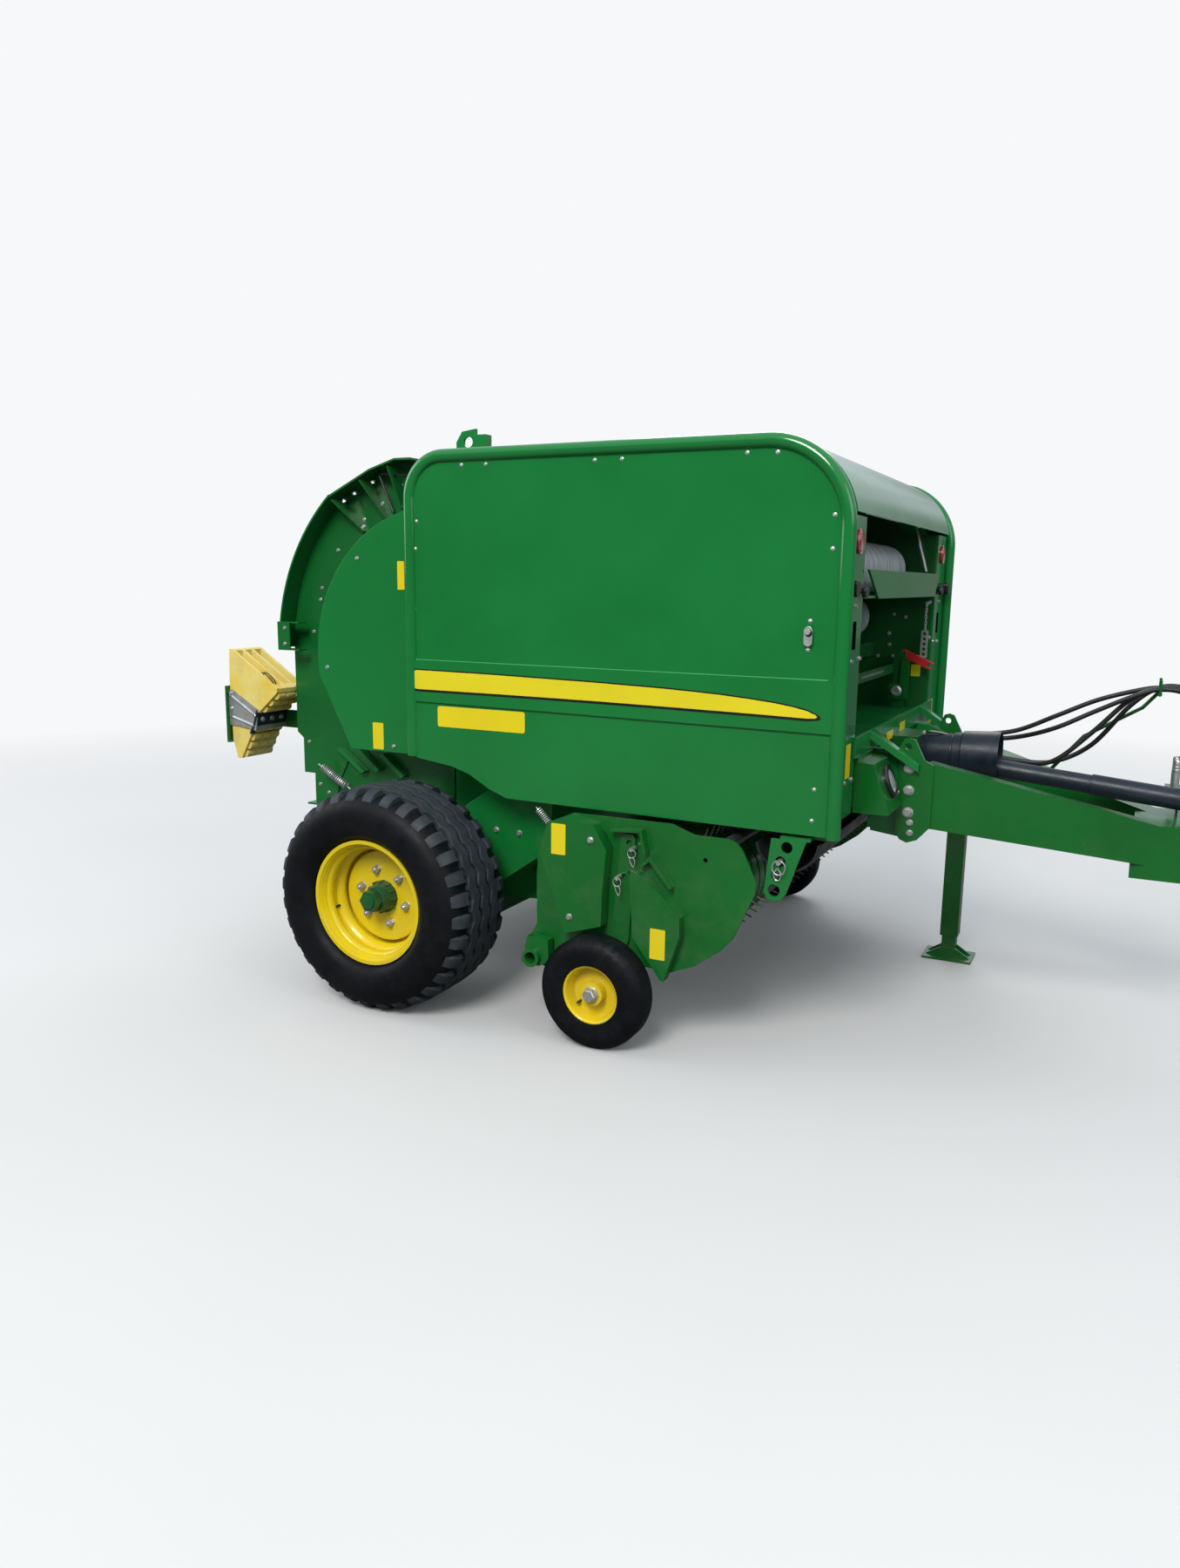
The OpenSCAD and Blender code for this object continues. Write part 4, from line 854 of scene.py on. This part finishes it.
# %% Guard lever
lever = tube([(1748, -14, 1046), (1770, -14, 1052), (1800, -12, 1050), (1838, -10, 1044)], 5)
close(lever, "guard_lever", "frame", "black_foil")
pivot = place(turned([(0.01, -10), (7, -10), (7, 10), (0.01, 10)], 16), at(1752, -14, 1046))
close(bevelled(pivot, 1), "lever_pivot", "frame", "zinc")
print("lever made")

# %% [markdown]
# The main tyres have a smooth black wall, three zigzag ribs and a row of
# shoulder blocks on each side. The carcass is turned from its profile, each rib
# is a turned ring whose steps are pushed sideways in turn, and the shoulder
# rings are cut into blocks by drawing some of their steps inwards. Ribs and
# blocks are a piece of their own, because rolling has worn them grey.

# %% Main tyres
BLOCKS = 32
PER_BLOCK = 8
STEPS = BLOCKS * PER_BLOCK
CUT_FROM = 5
WHEEL_Y = 1055
SWAY = [0, 0.5, 1, 1, 0, -0.5, -1, -1]


def step_of(vertex):
    return round(math.atan2(-vertex.co.z, vertex.co.x) / (2 * math.pi) * STEPS) % STEPS


def zigzag_rib(y0, y1, r_base, r_top, sway):
    lean = 2
    ring = turned([(r_base, y0 - lean), (r_top - 1.5, y0), (r_top, y0 + 1.5), (r_top, y1 - 1.5),
                   (r_top - 1.5, y1), (r_base, y1 + lean)], STEPS)
    for v in ring.data.vertices:
        v.co.y += sway / 1000 * SWAY[step_of(v) % PER_BLOCK]
    return ring


def shoulder(side):
    """A ring of blocks over the tyre's shoulder: three steps of each eight are drawn in."""
    profile = [(398, 97), (417, 99), (420.5, 101), (419, 124), (413, 142), (403, 156), (389, 166), (378, 170),
               (370, 160)]
    ring = turned([(r, side * y) for r, y in profile], STEPS)
    for v in ring.data.vertices:
        step = step_of(v) % PER_BLOCK
        r = math.hypot(v.co.x, v.co.z)
        if step >= CUT_FROM:
            shrink = (min(r, 0.402) - 0.012 * (r > 0.375)) / r
            v.co.x *= shrink
            v.co.z *= shrink
            v.co.y *= 0.955
        elif abs(v.co.y) < 0.105 and r > 0.4:
            v.co.y += side * 0.0035 * SWAY[step]
    return ring


carcass_profile = [(217, -146), (239, -148), (242, -158), (247, -168), (258, -179), (274, -187), (298, -192),
                   (322, -194), (346, -191), (366, -184), (382, -172), (394, -156), (401, -138), (404, -100),
                   (406, -40), (406.5, 0)]
carcass_profile += [(r, -y) for r, y in reversed(carcass_profile[:-1])]


def main_tyre(hand, away):
    middle = at(0, away * WHEEL_Y, AXLE_HEIGHT)
    tyre = place(turned(carcass_profile, 128), middle)
    close(tyre, f"main_tyre_{hand}", f"wheel_{hand}", "tyre_rubber", 35)
    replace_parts(tyre, f"tyre_{hand}")
    parts = [zigzag_rib(-23, 23, 400, 423.5, 7)]
    for s in (-1, 1):
        parts.append(zigzag_rib(s * 62 - 22, s * 62 + 22, 398, 422.5, 7))
        parts.append(shoulder(s))
    tread = place(joined(parts), middle)
    close(tread, f"main_tread_{hand}", f"wheel_{hand}", "worn_tread", 28)
    return tyre, tread


for away, hand, way in HANDS:
    tyre, tread = main_tyre(hand, away)
    print(tyre.name, len(tyre.data.polygons), "faces,", tread.name, len(tread.data.polygons))

# %% [markdown]
# The barrel of a main rim is rolled with two steps that stiffen it. Each is a
# turned ring with a rounded crest, painted like the rim. The hub's cap ends in
# a low round boss.

# %% Rim steps and hub bosses
RIM_STEPS = [(208, 128), (203, 126), (197, 118), (196, 108), (199, 100), (205, 94), (208, 92)]
INNER_STEP = [(206, 78), (200, 76), (192, 68), (186, 60), (184, 50), (186, 40), (194, 34), (206, 30)]
boss = [(0.01, 140), (25, 140), (27, 144), (26, 149), (22, 151), (0.01, 151)]
for away, hand, way in HANDS:
    middle = at(0, away * WHEEL_Y, AXLE_HEIGHT)
    rings = [place(turned(profile, 96), middle, ALONG[way]) for profile in (RIM_STEPS, INNER_STEP)]
    close(joined(rings), f"rim_steps_{hand}", f"wheel_{hand}", "yellow_rim", 40)
    close(place(turned(boss, 40), middle, ALONG[way]), f"hub_boss_{hand}", f"wheel_{hand}", "green_hub")
print("rims stepped")

# %% [markdown]
# Six wheel nuts hold each disc. A nut is a hexagon on its washer, with the
# stud's end turned and joined to it.

# %% Wheel nuts
NUT_CIRCLE = 105
DISC_FACE = 1103
nut = hex_head(24, 20, 17)
stud = turned([(0.01, 18), (6.5, 18), (6.5, 27), (5.5, 28), (0.01, 28)], 16)
nut = joined([nut, stud])
angles = [math.radians(46 + 60 * k) for k in range(6)]
for away, hand, way in HANDS:
    places = [(NUT_CIRCLE * math.cos(a), away * DISC_FACE, AXLE_HEIGHT + NUT_CIRCLE * math.sin(a), way)
              for a in angles]
    bolts(f"wheel_nuts_{hand}", f"wheel_{hand}", nut, places)
nut.hide_render = True
print("nuts placed")

# %% [markdown]
# The finishes come next. A finish is a tree of nodes, and most of them only
# need a few kinds: noise, a ramp that spreads its values, a mix of two colours
# and some arithmetic. This class adds such nodes and links them in one call.
# Textures are read in object coordinates, so that they stay put when a part
# moves.

# %% Texture nodes
class Tree:
    """A node tree with short ways to add texture nodes and link them."""

    def __init__(self, tree, coordinates="Object"):
        self.nodes, self.links = tree.nodes, tree.links
        self.where = self.add("TexCoord").outputs[coordinates]

    def add(self, kind, operation=None, **inputs):
        """A node whose inputs, named with _ for spaces, are given a value or linked."""
        made = self.nodes.new("ShaderNode" + kind)
        if operation:
            made.operation = operation
        for name, value in inputs.items():
            self.set(made.inputs[name.replace("_", " ")], value)
        return made

    def set(self, socket, value):
        """Link a node's output to the socket, or put a colour or number on it."""
        if isinstance(value, bpy.types.NodeSocket):
            self.links.new(value, socket)
        elif isinstance(value, tuple) and socket.type == "RGBA":
            socket.default_value = (*value, 1)
        else:
            socket.default_value = value

    def calculate(self, operation, *values):
        made = self.add("Math", operation)
        for socket, value in zip(made.inputs, values):
            self.set(socket, value)
        return made.outputs["Value"]

    def times(self, a, b):
        return self.calculate("MULTIPLY", a, b)

    def part(self, vector, axis):
        return self.add("SeparateXYZ", Vector=vector).outputs[axis]

    def noise(self, scale, detail, rough=0.55, stretch=None):
        source = self.where
        if stretch:
            source = self.add("Mapping", Vector=source, Scale=stretch).outputs["Vector"]
        return self.add("TexNoise", Scale=scale, Detail=detail, Roughness=rough, Vector=source).outputs["Fac"]

    def ramp(self, value, low, high, to_low=0.0, to_high=1.0):
        return self.add("MapRange", From_Min=low, From_Max=high, To_Min=to_low, To_Max=to_high,
                        Value=value).outputs["Result"]

    def mixed(self, factor, a, b):
        made = self.nodes.new("ShaderNodeMix")
        made.data_type = "RGBA"
        for name, value in (("Factor", factor), ("A", a), ("B", b)):
            self.set(made.inputs[name], value)
        return made.outputs["Result"]


print("texture nodes ready")

# %% [markdown]
# A material starts from its constants, set on the shader's own sockets. What
# changes over the surface is then fed to the same sockets, and fine relief is
# made by bump nodes, each of which hands its normal on to the next.

# %% Materials
class Paint(Tree):
    """A material: constants on its shader's sockets, textures linked to them."""

    def __init__(self, name, colour, roughness, metallic=0.0, coat=0.0, gloss=0.5):
        self.material = bpy.data.materials.new(name)
        self.material.use_nodes = True
        super().__init__(self.material.node_tree)
        self.shader = self.nodes["Principled BSDF"]
        for socket, value in (("Base Color", colour), ("Roughness", roughness), ("Metallic", metallic),
                              ("Coat Weight", coat), ("Coat Roughness", 0.06), ("IOR", 1.5),
                              ("Specular IOR Level", gloss)):
            self.feed(socket, value)

    def feed(self, socket, value):
        self.set(self.shader.inputs[socket], value)

    def bumped(self, *layers):
        """layers are (height, strength, distance in metres), the coarsest first."""
        last = None
        for height, strength, distance in layers:
            made = self.add("Bump", Strength=strength, Distance=distance, Height=height)
            if last:
                self.links.new(last, made.inputs["Normal"])
            last = made.outputs["Normal"]
        self.feed("Normal", last)


print("materials ready")

# %% [markdown]
# Paint on farm machinery is a glossy enamel: one colour that varies a little
# over a panel, a fine orange-peel surface, faint waves in the sheet that bend
# reflections, and pale dust on what faces up or hangs low.

# %% Paint
DUST = (0.36, 0.33, 0.26)


def enamel(name, colour, dark, roughness, coat, ripple=0.0, dust=0.25, peel=0.06):
    """Two shades of one colour, dust in patches on what is low or faces up, waves and orange peel."""
    p = Paint(name, colour, roughness, coat=coat, gloss=0.35)
    paint = p.mixed(p.ramp(p.noise(2.2, 4), 0.35, 0.68), colour, dark)
    normal = p.add("NewGeometry").outputs["Normal"]
    low = p.ramp(p.part(p.where, "Z"), 1.0, 0.1)
    up = p.ramp(p.part(normal, "Z"), 0.3, 1.0)
    settled = p.calculate("MAXIMUM", p.times(low, 0.7), up)
    patch = p.ramp(p.noise(9, 6, 0.65), 0.45, 0.75)
    p.feed("Base Color", p.mixed(p.times(p.times(settled, patch), dust), paint, DUST))
    p.feed("Roughness", p.ramp(p.noise(5, 5, 0.6), 0.3, 0.7, roughness - 0.06, roughness + 0.07))
    waves = [(p.noise(1.7, 1.5, 0.4), 1.0, ripple)] if ripple else []
    p.bumped(*waves, (p.noise(420, 1, 0.4), peel, 0.001))
    return p.material


GREEN, GREEN_DARK = (0.006, 0.17, 0.033), (0.005, 0.15, 0.028)
FRAME_GREEN, FRAME_DARK = (0.0045, 0.125, 0.018), (0.0035, 0.1, 0.013)
finishes = {}


def finish_as(slot, make, name, *values, **settings):
    """Make a finish and note the record's material slot that it belongs to."""
    finishes[name] = (make(name, *values, **settings), slot)


finish_as("green_paint", enamel, "green_gloss", GREEN, GREEN_DARK, 0.13, 0.4, ripple=0.004, dust=0.02)
finish_as("green_paint", enamel, "green_sheet", GREEN, GREEN_DARK, 0.2, 0.25, ripple=0.002, dust=0.1)
finish_as("green_paint", enamel, "green_frame", FRAME_GREEN, FRAME_DARK, 0.22, 0.25, dust=0.15, peel=0.08)
finish_as("green_paint", enamel, "green_mirror", GREEN, GREEN_DARK, 0.08, 0.5, ripple=0.012, dust=0.02)
# The lip is a lighter green than the panels: a painted highlight along the crease.
finish_as("green_paint", enamel, "lip_painted_highlight", (0.03, 0.3, 0.08), (0.02, 0.26, 0.06), 0.2, 0.3)
# The tailgate's side walls take a darker copy of the green: painted shade that sets the covers off against
# them.
finish_as("green_paint", enamel, "green_painted_shade", (0.005, 0.125, 0.022), (0.004, 0.105, 0.017), 0.28, 0.15,
          ripple=0.002, dust=0.2)
finish_as("green_paint", enamel, "green_hub", (0.006, 0.085, 0.02), (0.003, 0.045, 0.012), 0.4, 0.15,
          dust=0.2, peel=0.3)
finish_as("dark_green_paint", enamel, "dark_sheet", (0.005, 0.09, 0.016), (0.003, 0.06, 0.012), 0.35, 0.1)
finish_as("yellow_paint", enamel, "yellow_rim", (0.74, 0.56, 0.006), (0.66, 0.48, 0.005), 0.26, 0.3, dust=0.2)
finish_as("red_paint", enamel, "red_lever", (0.5, 0.018, 0.025), (0.38, 0.014, 0.018), 0.35, 0.2)
finish_as("black_plastic", enamel, "black_foil", (0.006, 0.007, 0.007), (0.012, 0.012, 0.012), 0.3, 0.1)
finish_as("yellow_paint", enamel, "yellow_foil", (0.74, 0.6, 0.01), (0.68, 0.54, 0.009), 0.32, 0.2, dust=0.1)
print("enamels", len(finishes))

# %% [markdown]
# The yellow band is printed with fine lines along its length. A wave texture
# in object coordinates, squeezed to bands along z, gives them.

# %% Printed band
def printed_band(name):
    p = Paint(name, (0.75, 0.65, 0.012), 0.3, coat=0.5)
    wave = p.add("TexWave", Scale=52, Vector=p.where)
    wave.wave_type = "BANDS"
    wave.bands_direction = "Z"
    line = p.ramp(wave.outputs["Fac"], 0.75, 1.0)
    base = p.mixed(p.ramp(p.noise(3, 3), 0.3, 0.7), (0.76, 0.65, 0.012), (0.68, 0.57, 0.01))
    p.feed("Base Color", p.mixed(p.times(line, 0.35), base, (0.55, 0.4, 0.0)))
    p.bumped((p.noise(300, 1), 0.03, 0.001))
    return p.material


finish_as("yellow_paint", printed_band, "yellow_stripes")
print("band printed")

# %% [markdown]
# Rubber, moulded plastic and metal differ in how rough they are and how the
# roughness changes. One helper makes a mottled surface with a fine grain; each
# finish gives its two colours, its roughness and how far that spreads, the
# size of the mottling, and the size and height of the grain.

# %% Rubber, plastic and metal
def mottled(name, colour, other, roughness, spread, scale, grain, grain_height, metallic=0.0, coat=0.0,
            dust=0.0, stretch=None, gloss=0.5):
    p = Paint(name, colour, roughness, metallic, coat, gloss)
    base = p.mixed(p.ramp(p.noise(scale, 5, 0.6, stretch), 0.35, 0.68), colour, other)
    if dust:
        patch = p.ramp(p.noise(scale * 2.7, 6, 0.65), 0.48, 0.8)
        base = p.mixed(p.times(patch, dust), base, DUST)
    p.feed("Base Color", base)
    p.feed("Roughness", p.ramp(p.noise(scale * 4, 4, 0.6, stretch), 0.3, 0.7, roughness - spread,
                               roughness + spread))
    p.bumped((p.noise(grain, 3, 0.6, stretch), 1.0, grain_height))
    return p.material


finish_as("tyre_black", mottled, "tyre_rubber", (0.0022, 0.0032, 0.0048), (0.005, 0.006, 0.008), 0.5, 0.1,
          7, 260, 0.0006, dust=0.012, gloss=0.14)
finish_as("tyre_black", mottled, "worn_tread", (0.016, 0.022, 0.03), (0.03, 0.037, 0.046), 0.6, 0.12,
          9, 240, 0.0008, dust=0.08, gloss=0.3)
finish_as("net", mottled, "clear_lens", (0.45, 0.47, 0.5), (0.34, 0.36, 0.39), 0.12, 0.04,
          30, 90, 0.0012, coat=1.0)
# Flat black for the posts' slots: painted shade in the openings.
finish_as("black_plastic", mottled, "hole_painted_shade", (0.003, 0.003, 0.003), (0.006, 0.006, 0.006), 0.9, 0.05,
          20, 300, 0.0001, gloss=0.0)
finish_as("hose_rubber", mottled, "hose_rubber", (0.007, 0.008, 0.009), (0.014, 0.015, 0.016), 0.45, 0.1,
          12, 500, 0.0003, dust=0.03, gloss=0.35)
finish_as("black_plastic", mottled, "black_guard", (0.007, 0.013, 0.022), (0.012, 0.019, 0.03), 0.38, 0.1,
          6, 350, 0.0002, dust=0.04, gloss=0.35)
finish_as("black_plastic", mottled, "black_apron", (0.01, 0.01, 0.012), (0.018, 0.018, 0.02), 0.4, 0.12,
          5, 60, 0.002, dust=0.05, gloss=0.35)
finish_as("black_plastic", mottled, "black_tube", (0.014, 0.014, 0.015), (0.03, 0.03, 0.03), 0.4, 0.1,
          8, 300, 0.0002, dust=0.15)
finish_as("steel", mottled, "zinc", (0.6, 0.61, 0.6), (0.44, 0.45, 0.45), 0.38, 0.1, 30, 400, 0.0002,
          metallic=0.8)
finish_as("steel", mottled, "chrome", (0.7, 0.71, 0.72), (0.6, 0.61, 0.62), 0.14, 0.05, 8, 300, 0.00005,
          metallic=1.0)
finish_as("steel", mottled, "spring_steel", (0.22, 0.21, 0.2), (0.14, 0.1, 0.07), 0.42, 0.12, 14, 400, 0.0002,
          metallic=1.0, dust=0.2)
finish_as("dark_green_paint", mottled, "bare_forging", (0.16, 0.16, 0.165), (0.1, 0.085, 0.075), 0.48, 0.12,
          18, 200, 0.0006, metallic=1.0)
finish_as("yellow_plastic", mottled, "chock_plastic", (0.74, 0.66, 0.27), (0.7, 0.5, 0.05), 0.5, 0.12,
          5, 300, 0.0003, dust=0.3, gloss=0.35)
finish_as("lamp_red", mottled, "lamp_red", (0.36, 0.018, 0.03), (0.28, 0.012, 0.02), 0.2, 0.05,
          20, 180, 0.0008, coat=1.0)
# The light and dark streaks around the rolls are partly the net's own tone and partly painted highlights and
# shade of its wound ridges.
finish_as("net", mottled, "net_streaks_and_painted_sheen", (0.66, 0.69, 0.72), (0.22, 0.25, 0.28), 0.5, 0.1, 60, 200, 0.002,
          stretch=(0.12, 1.6, 0.12))
print("finishes", len(finishes))

# %% [markdown]
# A pale studio: one wide floor, a soft key light above the right side where
# the photographer stands, weaker ones at the front, the left and the rear, and a
# gentle sky. Things mirror a darker yard and a dark, ragged horizon, as trees and
# buildings are, so that vertical panels keep their own colour. The camera sees
# a pale floor and plain white instead, and the floor fades into it far away.

# %% Studio
PALE = (0.93, 0.94, 0.95)
FADE_FROM, FADE_TO = 3.5, 9.0
bpy.ops.mesh.primitive_plane_add(size=60, location=(0, 0, 0))
floor = bpy.context.object
floor.name = "floor"
p = Paint("floor", (0.72, 0.72, 0.71), 0.8, gloss=0.2)
camera_ray = p.add("LightPath").outputs["Is Camera Ray"]
pale_floor = p.mixed(p.noise(0.6, 4), (0.6, 0.6, 0.595), (0.56, 0.56, 0.555))
yard = p.mixed(p.ramp(p.part(p.where, "Y"), 1.5, 4), (0.15, 0.15, 0.14), (0.035, 0.055, 0.045))
p.feed("Base Color", p.mixed(camera_ray, yard, pale_floor))
reach = p.add("VectorMath", "LENGTH")
p.links.new(p.where, reach.inputs[0])
far = p.times(p.ramp(reach.outputs["Value"], FADE_FROM, FADE_TO), camera_ray)
distance = p.add("Emission", Color=PALE)
blend = p.add("MixShader", Fac=far)
p.links.new(p.shader.outputs["BSDF"], blend.inputs[1])
p.links.new(distance.outputs["Emission"], blend.inputs[2])
p.links.new(blend.outputs["Shader"], p.nodes["Material Output"].inputs["Surface"])
floor.data.materials.append(p.material)

world = bpy.data.worlds.new("studio")
bpy.context.scene.world = world
world.use_nodes = True
world.node_tree.nodes.clear()
w = Tree(world.node_tree, "Generated")
height = w.calculate("MULTIPLY_ADD", w.part(w.where, "Y"), 0.05, w.part(w.where, "Z"))
treetops = w.add("TexNoise", Scale=3.5, Detail=3, Vector=w.where).outputs["Fac"]
rising = w.ramp(w.calculate("MULTIPLY_ADD", treetops, 0.5, height), 0.34, 0.58)
mirrored = w.add("Background", Color=w.mixed(rising, (0.16, 0.2, 0.17), (0.9, 0.97, 1.05)), Strength=0.85)
seen = w.add("Background", Color=PALE, Strength=1.0)
sky = w.add("MixShader", Fac=w.add("LightPath").outputs["Is Camera Ray"])
w.links.new(mirrored.outputs["Background"], sky.inputs[1])
w.links.new(seen.outputs["Background"], sky.inputs[2])
w.links.new(sky.outputs["Shader"], w.add("OutputWorld").inputs["Surface"])


def soft_light(name, where, aim, size, watts, colour=(1, 1, 1)):
    bpy.ops.object.light_add(type="AREA", location=where)
    lamp = bpy.context.object
    lamp.name = name
    lamp.data.shape = "DISK"
    lamp.data.size = size
    lamp.data.energy = watts
    lamp.data.color = colour
    lamp.rotation_euler = (Vector(aim) - Vector(where)).to_track_quat("-Z", "Y").to_euler()


soft_light("key", (0.8, -9.5, 8.5), (0, 0, 1), 4.6, 1080, (1, 0.98, 0.95))
soft_light("fill", (6.5, -3.5, 4.0), (0.5, 0, 1), 4.0, 90, (0.96, 0.98, 1))
soft_light("back", (-1.5, 6.0, 5.5), (0, 0, 1), 4.0, 160)
soft_light("rear", (-7.0, -2.5, 3.5), (0, 0, 1), 4.0, 110)
print("studio lit")

# %% [markdown]
# The finishes go on last: each piece gets the one that it asked for.
# Prototypes of repeated pieces are deleted.

# %% Finishes on, and the end
for o in list(bpy.data.objects):
    if o.type == "MESH" and o.hide_render and o.parent is None:
        bpy.data.objects.remove(o)
for name, finish in wanted_finish.items():
    piece = bpy.data.objects[name]
    mat, slot = finishes[finish]
    piece.data.materials.clear()
    piece.data.materials.append(mat)
print("finished pieces", len(wanted_finish))
